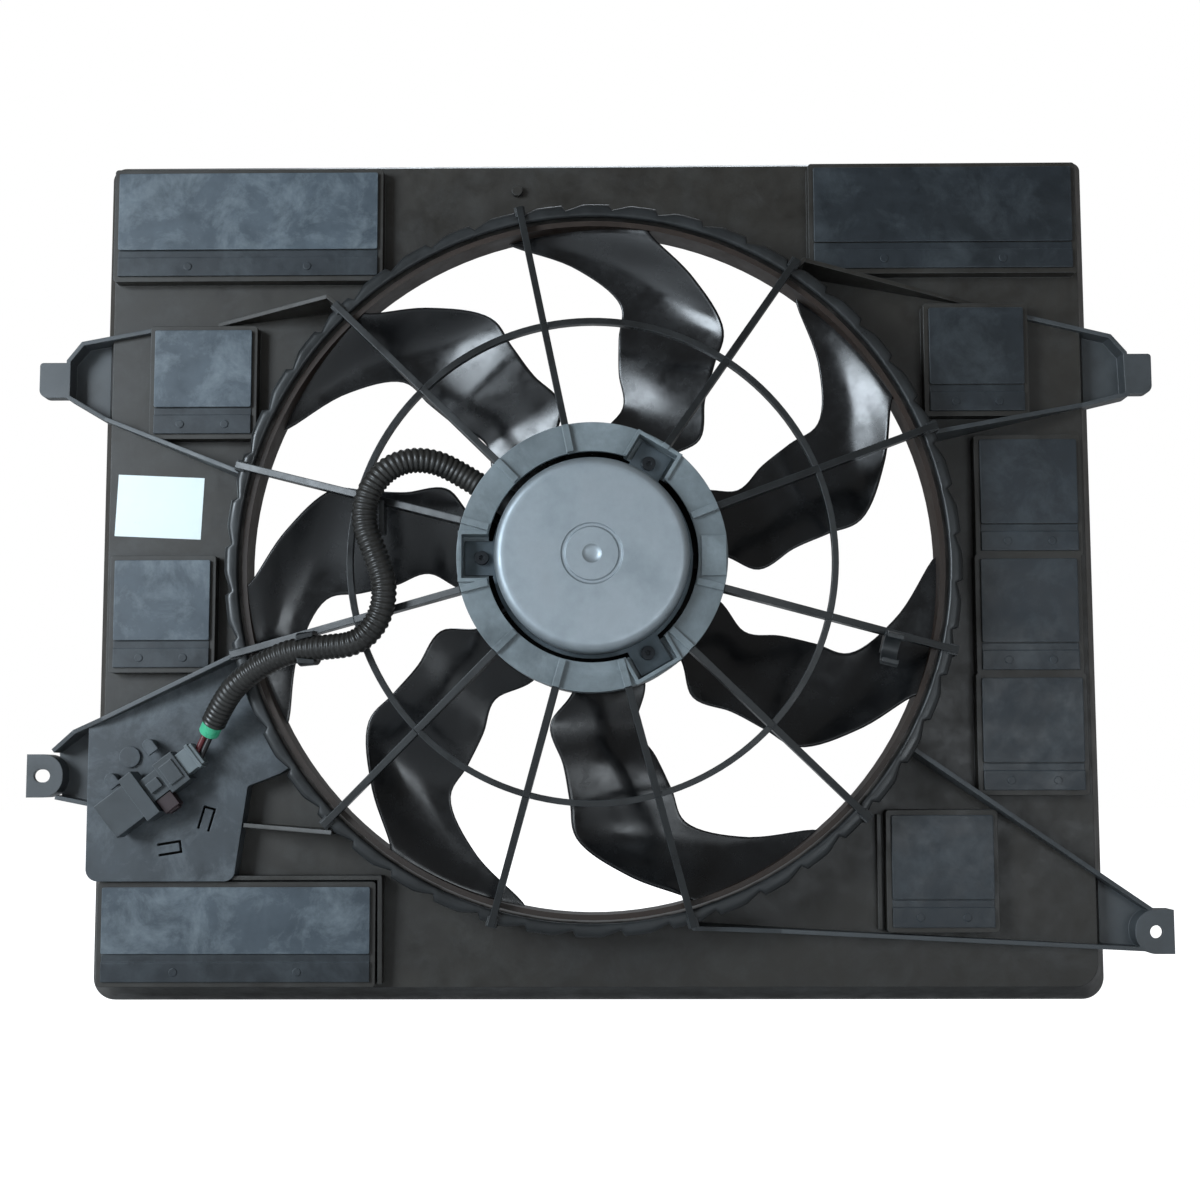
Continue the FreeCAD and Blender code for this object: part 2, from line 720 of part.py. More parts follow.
def motor_flange():
    """Flat ring round the can with three ears that sit in the ring's pockets."""
    rear = POCKET_FLOOR_TOP + EAR_THICKNESS
    parts = [disc(YOKE_RADIUS + FLANGE_WALL, POCKET_FLOOR_TOP, rear)]
    for angle in EAR_ANGLES:
        parts.append(radial_block(0, EAR_OUTER, EAR_WIDTH, POCKET_FLOOR_TOP, rear, angle))
    cuts = [disc(YOKE_RADIUS, 0, FAR)]
    for angle in EAR_ANGLES:
        spot = polar(EAR_SCREW_RADIUS, angle, 0)
        cuts.append(disc(SCREW_SHANK + CLEARANCE, 0, FAR, (spot.x, spot.z)))
    return joined(parts).cut(Part.makeCompound(cuts))


def motor_screws():
    """Three screws with round heads and star sockets, through the ears."""
    under_head = POCKET_FLOOR_TOP + EAR_THICKNESS
    top = under_head + SCREW_HEAD_HEIGHT
    screws = []
    for angle in EAR_ANGLES:
        spot = polar(EAR_SCREW_RADIUS, angle, 0)
        place = (spot.x, spot.z)
        screw = disc(SCREW_HEAD, under_head, top, place).fuse(
            disc(SCREW_SHANK, under_head - SCREW_LENGTH, under_head, place))
        star = []
        for point in range(12):
            reach = SCREW_SOCKET * (1.0 if point % 2 else SCREW_SOCKET_WAIST)
            turn = point * math.pi / 6
            star.append((place[0] + reach * math.cos(turn), place[1] + reach * math.sin(turn), 0))
        screws.append(screw.cut(slab(star, top - SCREW_HEAD_HEIGHT / 2, top + 1)))
    return solids_of(screws)


def motor_end_plate():
    """Front cover of the motor with its bearing seat."""
    seat = BEARING_RADIUS + BEARING_SEAT_WALL
    plate = joined([
        disc(YOKE_RADIUS, YOKE_FRONT - END_PLATE, YOKE_FRONT),
        disc(seat, YOKE_FRONT - BEARING_WIDTH, YOKE_FRONT),
    ])
    return plate.cut(disc(BEARING_RADIUS, 0, FAR))


def bearing(near):
    """Plain bearing that the shaft runs in."""
    return tube(BEARING_RADIUS, SHAFT_RADIUS + SHAFT_CLEARANCE, near, near + BEARING_WIDTH)


def magnets():
    """Field magnets: arcs stuck to the inside of the can."""
    outer = YOKE_RADIUS - YOKE_WALL
    ring = tube(outer, outer - MAGNET_THICKNESS, MAGNET_FRONT, MAGNET_REAR)
    gap = 2 * outer * math.sin(math.radians((360.0 / MAGNET_COUNT - MAGNET_SPAN) / 2))
    turns = [(index + 0.5) * 360.0 / MAGNET_COUNT for index in range(MAGNET_COUNT)]
    cuts = [radial_block(0, FAR, gap, 0, FAR, turn) for turn in turns]
    return solids_of([ring.cut(Part.makeCompound(cuts))])


def slot_bars(width, inner, outer, near, far):
    """Bars along the armature's slots."""
    turns = [index * 360.0 / SLOT_COUNT for index in range(SLOT_COUNT)]
    return [radial_block(inner, outer, width, near, far, turn) for turn in turns]


def core_radius():
    """Outside of the armature: the magnets' bore less the air gap."""
    return YOKE_RADIUS - YOKE_WALL - MAGNET_THICKNESS - AIR_GAP


def armature_core():
    """Slotted stack of laminations on the shaft."""
    core = tube(core_radius(), SHAFT_RADIUS, CORE_FRONT, CORE_REAR)
    slots = slot_bars(SLOT_WIDTH, core_radius() - SLOT_DEPTH, FAR, 0, FAR)
    return core.cut(Part.makeCompound(slots))


def armature_windings():
    """Copper in the slots, joined by a ring of end turns at each side."""
    inner = core_radius() - SLOT_DEPTH
    outer = core_radius() - COIL_INSET
    ends = [
        tube(outer, COIL_INNER, CORE_FRONT - COIL_END_HEIGHT, CORE_FRONT),
        tube(outer, COIL_INNER, CORE_REAR, CORE_REAR + COIL_END_HEIGHT),
    ]
    return joined(ends + slot_bars(SLOT_WIDTH, inner, outer - 1, CORE_FRONT, CORE_REAR))


def commutator():
    """Segmented copper drum that the brushes run on."""
    drum = tube(COMMUTATOR_RADIUS, SHAFT_RADIUS, COMMUTATOR_FRONT, CORE_FRONT)
    turns = [(index + 0.5) * 360.0 / COMMUTATOR_BARS for index in range(COMMUTATOR_BARS)]
    inner = COMMUTATOR_RADIUS - BAR_SLOT_DEPTH
    cuts = [radial_block(inner, FAR, BAR_SLOT_WIDTH, 0, FAR, turn) for turn in turns]
    return drum.cut(Part.makeCompound(cuts))


def brush_plate():
    """Insulating plate that carries the brushes."""
    return tube(YOKE_RADIUS - YOKE_WALL, BRUSH_PLATE_HOLE, BRUSH_PLATE_Y, BRUSH_PLATE_Y + BRUSH_PLATE_THICKNESS)


def brushes():
    """Carbon brushes, hollowed to the commutator's radius."""
    drum = disc(COMMUTATOR_RADIUS + CLEARANCE / 2, 0, FAR)
    turns = [(index + 0.5) * 360.0 / BRUSH_COUNT for index in range(BRUSH_COUNT)]
    blocks = [radial_block(COMMUTATOR_RADIUS - BRUSH_HOLLOW, BRUSH_END, BRUSH_WIDTH,
                           BRUSH_PLATE_Y - BRUSH_HEIGHT, BRUSH_PLATE_Y, turn) for turn in turns]
    return solids_of([item.cut(drum) for item in blocks])


def cable_grommet():
    """Rubber boot where the conduit meets the motor."""
    start = polar(YOKE_RADIUS - GROMMET_OVERLAP, CABLE_NOTCH_ANGLE, CABLE_DEPTH)
    outward = Vector(start.x, 0, start.z).normalize()
    boot = Part.makeCylinder(GROMMET_RADIUS, GROMMET_REACH + GROMMET_OVERLAP, start, outward)
    flange = disc(YOKE_RADIUS + FLANGE_WALL, POCKET_FLOOR_TOP, POCKET_FLOOR_TOP + EAR_THICKNESS)
    return boot.cut(disc(YOKE_RADIUS, 0, FAR)).cut(flange)


def motor_shaft():
    """Shaft from the rear bearing to the fan nut."""
    return disc(SHAFT_RADIUS, SHAFT_FRONT, YOKE_REAR - YOKE_WALL - SHAFT_END_GAP)


# Fan

def fan_hub():
    """Hub cup that covers the front of the motor, ribbed inside."""
    cup = disc(HUB_RADIUS, HUB_FACE, HUB_REAR)
    edge = [item for item in cup.Edges if abs(item.CenterOfMass.y + HUB_FACE) < 1e-3]
    cup = cup.makeFillet(HUB_EDGE_RADIUS, edge)
    cup = cup.cut(disc(HUB_RADIUS - HUB_WALL, HUB_FACE + HUB_WEB, FAR))
    parts = [cup, disc(HUB_BOSS_RADIUS, HUB_FACE, HUB_BOSS_REAR)]
    for index in range(BLADE_COUNT):
        angle = BLADE_FIRST + index * 360.0 / BLADE_COUNT
        parts.append(radial_block(1, HUB_RADIUS - 1, HUB_RIB_WIDTH, HUB_FACE + 1, HUB_RIB_REAR, angle))
    return joined(parts).cut(disc(SHAFT_RADIUS, 0, FAR))


def fan_band():
    """Band round the blade tips, with a small outward lip facing the radiator."""
    outer = BAND_INNER + BAND_WALL
    return turned([
        (BAND_INNER, BAND_FRONT),
        (outer + BAND_LIP, BAND_FRONT),
        (outer + BAND_LIP, BAND_FRONT + BAND_LIP_WIDTH),
        (outer, BAND_FRONT + BAND_LIP_WIDTH + BAND_LIP),
        (outer, BAND_REAR),
        (BAND_INNER, BAND_REAR),
    ])


def blade_point(station, share, side):
    """Point of a blade: share runs from leading to trailing edge, side is -1, 0 or 1."""
    trailing, leading = BLADE_STATIONS[station]
    across = station / (len(BLADE_STATIONS) - 1)
    radius = HUB_RADIUS + (BAND_INNER - HUB_RADIUS) * across
    angle = leading + (trailing - leading) * share
    rise = share + BLADE_CAMBER * (share * share - share)
    depth = BLADE_LEADING_Y + (BLADE_TRAILING_Y - BLADE_LEADING_Y) * rise
    depth += BLADE_WAVE * math.sin(2 * math.pi * across) * math.sin(math.pi * share)
    thickness = BLADE_EDGE_THICKNESS + (BLADE_THICKNESS - BLADE_EDGE_THICKNESS) * math.sin(math.pi * share)
    return polar(radius, angle, depth + side * thickness / 2)


def blade_skin(side):
    """One face of a blade as a smooth surface through its stations."""
    shares = (0.0, 0.25, 0.5, 0.75, 1.0)
    grid = [[blade_point(station, share, side) for share in shares] for station in range(len(BLADE_STATIONS))]
    surface = Part.BSplineSurface()
    surface.interpolate(grid)
    return surface.toShape()


def blade():
    """One blade as a closed solid: two skins and the four edges between them."""
    skins = [blade_skin(-1), blade_skin(1)]
    faces = [skins[0].Faces[0], skins[1].Faces[0]]
    for edge in skins[0].Edges:
        twin = min(skins[1].Edges, key=lambda item: item.CenterOfMass.distanceToPoint(edge.CenterOfMass))
        faces.append(Part.makeRuledSurface(edge, twin).Faces[0])
    shell = Part.makeShell(faces)
    shell.sewShape()
    solid = Part.makeSolid(Part.Shell(shell.Faces))
    if solid.Volume < 0:
        solid.reverse()
    return solid.cut(disc(HUB_RADIUS, 0, FAR))


def fan_blades():
    """Seven equal blades."""
    first = blade()
    return solids_of([first.copy().rotate(ORIGIN, AXIS, -(BLADE_FIRST + index * 360.0 / BLADE_COUNT))
                      for index in range(BLADE_COUNT)])


def fan_nut():
    """Hexagon nut that holds the fan on the shaft."""
    corner = NUT_FLATS / math.sqrt(3)
    turns = [side * math.pi / 3 for side in range(6)]
    hexagon = [(corner * math.cos(turn), corner * math.sin(turn), 0) for turn in turns]
    return slab(hexagon, HUB_FACE - NUT_HEIGHT, HUB_FACE).cut(disc(SHAFT_RADIUS, 0, FAR))


# Flaps

def flap_leaf(flap):
    """Rubber leaf that swings open towards the engine."""
    name, left, right, bottom, top = flap
    fold = hinge_height(flap) + CLEARANCE / 2
    near = SEAT_Y + CLEARANCE
    return slab(rectangle(left, right, fold, top, FLAP_CORNER / 2), near, near + FLAP_THICKNESS)


def peg_spots(flap):
    """Where a flap's two pegs stand."""
    name, left, right, bottom, top = flap
    level = bottom + FLAP_STRIP_HEIGHT / 2
    width = right - left
    return [(left + width * PEG_INSET, level), (right - width * PEG_INSET, level)]


def flap_strip(flap):
    """Fixed strip of a flap with its thin hinge web and two peg holes."""
    name, left, right, bottom, top = flap
    web_low = bottom + FLAP_STRIP_HEIGHT
    fold = hinge_height(flap) - CLEARANCE
    strip = joined([
        block(left, right, bottom, web_low, SEAT_Y, SEAT_Y + FLAP_THICKNESS),
        block(left, right, web_low, fold, SEAT_Y, SEAT_Y + FLAP_WEB_THICKNESS),
    ])
    for spot in peg_spots(flap):
        strip = strip.cut(disc(PEG_RADIUS + SCREW_CLEARANCE, 0, FAR, spot))
    return strip


def flap_pegs():
    """Staked pegs that hold the strips on their seats."""
    top = SEAT_Y + FLAP_THICKNESS
    pegs = []
    for flap in FLAPS:
        for spot in peg_spots(flap):
            shank = disc(PEG_RADIUS, SEAT_Y, top, spot)
            pegs.append(shank.fuse(disc(PEG_HEAD_RADIUS, top, top + PEG_HEAD_HEIGHT, spot)))
    return solids_of(pegs)


# Ears and ribs

def seat_blocks():
    """The filled window seats, which ribs are trimmed to."""
    return [slab(rectangle(*flap_box(flap, SEAT_MARGIN), FLAP_CORNER), PLATE_Y - 1, SEAT_Y) for flap in FLAPS]


def shroud_body(spokes):
    """Filled form of the dish, seats, barrel and spokes, which ribs and ears are trimmed to."""
    base = BARREL_TOP - LIP_HEIGHT
    barrel = [disc(BARREL_OUTER, 0, base), disc(LIP_OUTER, base, BARREL_TOP + 6)]
    return Part.makeCompound([dish_block(), spokes] + barrel + seat_blocks())


def rib_chain(points, tops, base):
    """Upright ribs end to end through points (x, z), with the depth of the top edge at each point."""
    ribs = []
    for index in range(len(points) - 1):
        ribs.append(wall(points[index], points[index + 1], base, tops[index], tops[index + 1]))
    for point, top in list(zip(points, tops))[1:-1]:
        ribs.append(disc(RIB_THICKNESS / 2, base, top, point))
    return ribs


def ear_tab(box, radii):
    """Plain tab, hollow on its radiator side."""
    left, right, bottom, top = box
    rounded = [(*corner[:2], radius) for corner, radius in zip(rectangle(left, right, bottom, top), radii)]
    inside = rectangle(left + DISH_WALL, right - DISH_WALL, bottom + DISH_WALL, top - DISH_WALL)
    tab = slab(rounded, EAR_FACE_Y - TAB_HEIGHT, EAR_FACE_Y)
    return tab.cut(slab(inside, EAR_FACE_Y - TAB_HEIGHT - 1, EAR_FACE_Y - TAB_PLATE))


def at_root(start, end, root):
    """Point where the line from start to end crosses an ear's root."""
    share = (root - start[0]) / (end[0] - start[0])
    return (root, start[1] + (end[1] - start[1]) * share)


def ear_floor(upper, lower, root):
    """Floor of an ear between its upper and lower ribs, from its root inside the dish."""
    points = [at_root(*upper[:2], root), *upper[1:], *lower[:0:-1], at_root(*lower[:2], root)]
    return slab([(x, z, 0) for x, z in points], EAR_FLOOR_Y - EAR_FLOOR_THICKNESS, EAR_FLOOR_Y)


def upper_ear(body, points, box, radii, root):
    """Tray between two ribs, with a tab at its end."""
    tops = [EAR_FACE_Y] * (len(points) - 1) + [RIB_TOP_AT_BARREL]
    floor = ear_floor(points[:3], [points[5], points[4], points[3]], root)
    ribs = rib_chain(points, tops, EAR_FLOOR_Y - EAR_FLOOR_THICKNESS)
    return joined([floor, ear_tab(box, radii)] + ribs).cut(body)


def ear_upper_left(body):
    """Left ear with a plain tab."""
    return upper_ear(body, RIB_UPPER_LEFT, TAB_LEFT, (TAB_CORNER, 0, 0, TAB_CORNER_TOP), RIM_LEFT + EAR_ROOT)


def ear_upper_right(body):
    """Right ear with a plain tab."""
    return upper_ear(body, RIB_UPPER_RIGHT, TAB_RIGHT, (0, TAB_CORNER, TAB_CORNER_TOP, 0), RIM_RIGHT - EAR_ROOT)


def boss_form(side, centre, reach, inset, near, far):
    """Filled form of a bolt boss, drawn in by an inset: round towards the shroud."""
    inner = centre[0] - side * (BOSS_CORNER - inset + BOSS_EDGE / 2)
    outer = centre[0] + side * (reach + (1 if inset else 0))
    low = centre[1] - BOSS_HALF + inset
    high = centre[1] + BOSS_HALF - inset
    round_corner = BOSS_CORNER - inset
    corners = [(inner, low, round_corner), (outer, low, 0), (outer, high, 0), (inner, high, round_corner)]
    return slab(corners if side > 0 else corners[::-1], near, far)


def bolt_boss(side, centre, reach, slot):
    """Boss with a bolt hole, hollow and open at its outer end, and what is cut from it."""
    base = EAR_FLOOR_Y - EAR_FLOOR_THICKNESS
    shell = boss_form(side, centre, reach, 0, base, EAR_FACE_Y)
    hollow = boss_form(side, centre, reach, DISH_WALL, base - 1, EAR_FACE_Y - BOLT_PLATE)
    half = max(slot / 2 - BOLT_RADIUS, 0)
    holes = [disc(BOLT_RADIUS, 0, FAR, (centre[0] + shift, centre[1])) for shift in (-half, half)]
    holes.append(block(centre[0] - half - 0.01, centre[0] + half + 0.01, centre[1] - BOLT_RADIUS,
                       centre[1] + BOLT_RADIUS, 0, FAR))
    return shell, Part.makeCompound([hollow, joined(holes) if half > 0 else holes[0]])


def ear_lower_right(body):
    """Long arm between two ribs, with a round bolt hole."""
    base = EAR_FLOOR_Y - EAR_FLOOR_THICKNESS
    upper = RIB_RIGHT_ARM_UPPER
    lower = RIB_RIGHT_ARM_LOWER
    ribs = rib_chain(upper, [RIB_TOP_AT_BARREL, EAR_FACE_Y], base)
    ribs += rib_chain(lower, [RIB_TOP_AT_BARREL, RIB_TOP_AT_BARREL, RIB_KNEE_TOP, EAR_FACE_Y], base)
    floor = ear_floor(upper, lower[2:], RIM_RIGHT - EAR_ROOT)
    shell, cuts = bolt_boss(1, BOLT_RIGHT, BOSS_REACH_RIGHT, 0)
    return joined([floor, shell] + ribs).cut(cuts).cut(body)


def ear_lower_left(body, plate):
    """Short arm beside the plug plate, with a slotted bolt hole and the long rib to the barrel."""
    base = EAR_FLOOR_Y - EAR_FLOOR_THICKNESS
    bend_top = (RIB_PLUG_TOP + EAR_FACE_Y) / 2
    ribs = rib_chain(RIB_PLUG, [RIB_TOP_AT_BARREL, RIB_PLUG_TOP, bend_top, EAR_FACE_Y], base)
    ribs += rib_chain(RIB_LEFT_ARM_LOWER, [EAR_FACE_Y] * 2, base)
    corners = [*RIB_PLUG[1:], *RIB_LEFT_ARM_LOWER[::-1]]
    floor = slab([(x, z, 0) for x, z in corners], base, EAR_FLOOR_Y)
    shell, cuts = bolt_boss(-1, BOLT_LEFT, BOSS_REACH_LEFT, BOLT_SLOT)
    return joined([floor, shell] + ribs).cut(cuts).cut(body).cut(plate)


def barrel_gussets(body, plate):
    """Fins on the plate that brace the barrel, and a moulding boss."""
    low = PLATE_Y + FIN_LOW
    high = RIB_TOP_AT_BARREL
    fence = PLATE_Y + FIN_FENCE_HIGH
    chains = [
        (FIN_TOP_LEFT, [low, high, high]),
        (FIN_TOP_RIGHT, [low, high, high]),
        (FIN_BOTTOM_LEFT, [PLUG_PLATE_Y, high]),
        (FIN_CORNER, [fence, fence, PLATE_Y + FIN_FENCE]),
        (FIN_BOTTOM_RIGHT, [PLATE_Y + FIN_SIDE] * 2),
    ]
    fins = [joined(rib_chain(points, tops, PLATE_Y)).cut(body).cut(plate) for points, tops in chains]
    fins.append(disc(MOULDING_BOSS_RADIUS, PLATE_Y, PLATE_Y + MOULDING_BOSS_HEIGHT, MOULDING_BOSS))
    return solids_of(fins)


# Plug plate and plug

def plug_plate_corners():
    """Outline of the raised plate beside the barrel: its upper edge follows the long rib."""
    start, knee, bend = RIB_PLUG[:3]
    return [
        (PLUG_PLATE_EDGE, PLUG_PLATE_LOW, 7.0),
        (-204.3, PLUG_PLATE_LOW, 6.0),
        (-196.9, -124.4, 2.0),
        (-178.0, -117.0, 1.0),
        (-160.0, -104.0, 0),
        (-186.0, -48.5, 0),
        (*start, 0),
        (*knee, 0),
        (*at_root(knee, bend, PLUG_PLATE_EDGE), 0),
    ]


def plug_plate_block():
    """The raised plate as a filled form."""
    return slab(plug_plate_corners(), PLUG_PLATE_BASE, PLUG_PLATE_Y)


def spring_tab_slots(tab):
    """U-shaped slot round a spring tab, closed at the end that its length points to."""
    x, z, turn = tab
    side = SPRING_TAB_WIDTH / 2
    end = SPRING_TAB_LENGTH / 2
    wide = SPRING_TAB_SLOT
    depths = (PLUG_PLATE_Y - PLUG_PLATE_WALL - 1, PLUG_PLATE_Y + 1)
    slot = joined([
        block(-side, wide - side, -end, end, *depths),
        block(side - wide, side, -end, end, *depths),
        block(-side, side, end - wide, end, *depths),
    ])
    return slot.rotate(ORIGIN, AXIS, turn).translate(Vector(x, 0, z))


def connector_plate(body):
    """Hollow raised plate with two spring tabs cut free by U-shaped slots."""
    face = Part.Face(outline(plug_plate_corners(), PLUG_PLATE_BASE - 1))
    depth = PLUG_PLATE_Y - PLUG_PLATE_WALL - PLUG_PLATE_BASE + 1
    hollow = face.makeOffset2D(-PLUG_PLATE_WALL).extrude(Vector(0, -depth, 0))
    cuts = [hollow] + [spring_tab_slots(tab) for tab in SPRING_TABS]
    return plug_plate_block().cut(Part.makeCompound(cuts)).cut(body)


def plug_block(start, end, low, high, near, far):
    """Box along the plug's own line: start and end along it, low and high across it."""
    shape = block(start, end, low, high, near, far)
    shape.rotate(ORIGIN, AXIS, -PLUG_ANGLE)
    return shape.translate(Vector(PLUG_START[0], 0, PLUG_START[1]))


def plug_bar(start, end, width, near, far):
    """Box along the plug's own line, centred across it."""
    return plug_block(start, end, -width / 2, width / 2, near, far)


def plug_point(along, across, depth):
    """Point in the plug's own lines."""
    angle = math.radians(PLUG_ANGLE)
    x = PLUG_START[0] + along * math.cos(angle) - across * math.sin(angle)
    z = PLUG_START[1] + along * math.sin(angle) + across * math.cos(angle)
    return Vector(x, -depth, z)


def connector_rear_cover():
    """Wire cover at the plug's rear."""
    cover = plug_bar(0, COVER_LENGTH, COVER_WIDTH, COVER_BASE, COVER_TOP)
    rim = plug_bar(COVER_RIM_START, COVER_RIM_START + COVER_RIM_LENGTH, COVER_WIDTH + 2 * COVER_RIM,
                   COVER_BASE - COVER_RIM, COVER_TOP + COVER_RIM)
    return joined([cover, rim])


def lock_tongue(margin):
    """The lock's tongue, grown by a margin for its pocket."""
    start = LOCK_START + LOCK_TONGUE_INSET - margin
    end = LOCK_START + LOCK_LENGTH - LOCK_TONGUE_INSET + margin
    inner = LOCK_SEAT - LOCK_TRAVEL - LOCK_ENGAGED - margin
    return plug_block(start, end, inner, LOCK_SEAT + 1, LOCK_TONGUE_BASE - margin, LOCK_TONGUE_TOP + margin)


def connector_housing(pins):
    """Plug body: rear blocks, a collar and the open mouth."""
    socket_top = PLUG_BASE + SOCKET_HEIGHT
    step = BLOCK_STEP_INSET
    body = joined([
        plug_bar(COVER_LENGTH, BLOCK_END, BLOCK_WIDTH, PLUG_BASE, BLOCK_TOP),
        plug_bar(BLOCK_END, NECK_END, 2 * LOCK_SEAT, NECK_BASE, NECK_TOP),
        plug_bar(NECK_END, COLLAR_END, COLLAR_WIDTH, COLLAR_BASE, COLLAR_TOP),
        plug_bar(COLLAR_END, PLUG_LENGTH, SOCKET_WIDTH, PLUG_BASE, socket_top),
        plug_bar(BLOCK_END + step, NECK_END - step, NECK_STEP_WIDTH, NECK_TOP, NECK_TOP + NECK_STEP),
        plug_bar(COVER_LENGTH + step, BLOCK_END - step, BLOCK_STEP_WIDTH, BLOCK_TOP, BLOCK_TOP + BLOCK_STEP),
    ])
    inside = plug_bar(PLUG_LENGTH - SOCKET_DEPTH, PLUG_LENGTH + 1, SOCKET_WIDTH - 2 * PLUG_WALL,
                      PLUG_BASE + PLUG_WALL, socket_top - PLUG_WALL)
    return body.cut(Part.makeCompound([inside, lock_tongue(CLEARANCE), pins]))


def terminal_blades():
    """Two flat blades in the plug's mouth."""
    middle = PLUG_BASE + SOCKET_HEIGHT / 2
    half = BLADE_PIN_WIDTH / 2
    return solids_of([
        plug_block(BLADE_PIN_ROOT, PLUG_LENGTH - BLADE_PIN_RECESS, place - half, place + half,
                   middle - BLADE_PIN_THICKNESS / 2, middle + BLADE_PIN_THICKNESS / 2)
        for place in (-BLADE_PIN_PITCH / 2, BLADE_PIN_PITCH / 2)
    ])


def connector_lock():
    """Side lock that slides out of the plug body."""
    end = LOCK_START + LOCK_LENGTH
    inset = LOCK_GRIP_INSET
    head = plug_block(LOCK_START, end, LOCK_SEAT + CLEARANCE, LOCK_OUTER, LOCK_BASE, LOCK_TOP)
    grip = plug_block(LOCK_START + inset, end - inset, LOCK_OUTER, LOCK_OUTER + LOCK_GRIP,
                      LOCK_BASE + inset, LOCK_TOP - inset)
    return joined([head, grip, lock_tongue(0)])


def connector_bracket():
    """Rail under the plug, two latch posts beside it and a round pad between them."""
    parts = [plug_bar(RAIL_START, NECK_END - CLEARANCE, RAIL_WIDTH, PLUG_PLATE_Y, PLUG_BASE)]
    for along, across in LATCH_POSTS:
        spot = plug_point(along, across, 0)
        post = disc(LATCH_RADIUS, PLUG_PLATE_Y, LATCH_TOP, (spot.x, spot.z))
        nose = across + LATCH_RADIUS
        hook = plug_block(along - LATCH_RADIUS, along + LATCH_RADIUS, across, nose + LATCH_HOOK,
                          LATCH_TOP - LATCH_HOOK_HEIGHT, LATCH_TOP)
        parts.append(joined([post, hook]))
    spot = plug_point(*LATCH_PAD, 0)
    parts.append(disc(LATCH_PAD_RADIUS, PLUG_PLATE_Y, PLUG_PLATE_Y + LATCH_PAD_HEIGHT, (spot.x, spot.z)))
    return solids_of(parts)


# Conduit and wires

def conduit_points():
    """Corners of the centre line, from the grommet's end to the tape."""
    start = polar(YOKE_RADIUS + GROMMET_REACH, CABLE_NOTCH_ANGLE, CABLE_DEPTH)
    return [start] + [Vector(*point) for point in CONDUIT_ROUTE]


def conduit_path():
    """Straight runs joined by tangent arcs, with the arcs' radii."""
    points = conduit_points()
    edges = []
    radii = []
    start = points[0]
    for index in range(1, len(points) - 1):
        back = points[index - 1] - points[index]
        ahead = points[index + 1] - points[index]
        reach = BEND_SHARE * min(back.Length, ahead.Length)
        half_turn = (math.pi - back.getAngle(ahead)) / 2
        radius = reach / math.tan(half_turn)
        first = points[index] + back.normalize() * reach
        last = points[index] + ahead.normalize() * reach
        inward = (back + ahead).normalize()
        middle = points[index] + inward * (radius / math.cos(half_turn) - radius)
        edges.append(Part.LineSegment(start, first).toShape())
        edges.append(Part.Arc(first, middle, last).toShape())
        radii.append(radius)
        start = last
    edges.append(Part.LineSegment(start, points[-1]).toShape())
    return Part.Wire(edges), radii


def conduit():
    """Corrugated conduit as a plain tube of its outer diameter."""
    path, radii = conduit_path()
    start, after = conduit_points()[:2]
    ahead = after - start
    section = Part.Wire([Part.makeCircle(CONDUIT_RADIUS, start, ahead)])
    pipe = path.makePipeShell([section], True, False)
    share = pipe.Volume / (math.pi * CONDUIT_RADIUS ** 2 * path.Length)
    print("conduit length", round(path.Length, 1), "volume share", round(share, 4))
    print("conduit radii", [round(radius, 1) for radius in radii])
    return pipe.Solids[0] if pipe.Solids else Part.makeSolid(pipe)


def conduit_end():
    """End of the conduit and the direction that it points in."""
    before, end = conduit_points()[-2:]
    return end, (end - before).normalize()


def wire_tape():
    """Tape wrapped round the wires where they leave the conduit."""
    end, ahead = conduit_end()
    return Part.makeCylinder(TAPE_RADIUS, TAPE_LENGTH, end, ahead)


def lead_wires(tape, cover):
    """Two wires from the tape into the plug's rear cover."""
    end, ahead = conduit_end()
    middle = plug_point(0, 0, WIRE_Y)
    wires = []
    for offset in (-WIRE_RADIUS - CLEARANCE / 2, WIRE_RADIUS + CLEARANCE / 2):
        across = plug_point(0, offset, WIRE_Y)
        first = end + ahead * (TAPE_LENGTH - WIRE_OVERLAP) + (across - middle)
        last = across + (across - first).normalize() * WIRE_OVERLAP
        wire = Part.makeCylinder(WIRE_RADIUS, (last - first).Length, first, last - first)
        wires.append(wire.cut(tape).cut(cover))
    return solids_of(wires)


def clip(centre, ahead, spoke_angle, spoke_radius, side):
    """Snap ring for the conduit with a foot on a spoke."""
    start = centre - ahead * (CLIP_LENGTH / 2)
    bore = CONDUIT_RADIUS + CLEARANCE
    ring = Part.makeCylinder(bore + CLIP_WALL, CLIP_LENGTH, start, ahead)
    top = spoke_top(spoke_radius)
    foot = block(spoke_radius - CLIP_LENGTH / 2, spoke_radius + CLIP_LENGTH / 2, 0, CLIP_OFFSET + CLIP_WALL,
                 top - CLIP_FOOT_LOW, top + CLIP_FOOT_HIGH)
    if side < 0:
        foot = foot.mirror(ORIGIN, Vector(0, 0, 1))
    foot.rotate(ORIGIN, AXIS, -spoke_angle)
    body = joined([ring, foot])
    mouth_depth = CLIP_MOUTH * bore - centre.y
    mouth = disc(4 * CLIP_LENGTH, mouth_depth, mouth_depth + 4 * CLIP_LENGTH, (centre.x, centre.z))
    hole = Part.makeCylinder(bore, 6 * CLIP_LENGTH, centre - ahead * (3 * CLIP_LENGTH), ahead)
    return body.cut(hole).cut(mouth)


def conduit_clip(spokes):
    """Clip on the spoke that the conduit runs along."""
    start, end = conduit_points()[CLIP_RUN:CLIP_RUN + 2]
    centre = (start + end) * 0.5
    angle = SPOKE_ANGLES[5]
    radius = centre.dot(polar(1, angle, 0))
    return clip(centre, (end - start).normalize(), angle, radius, 1).cut(spokes)


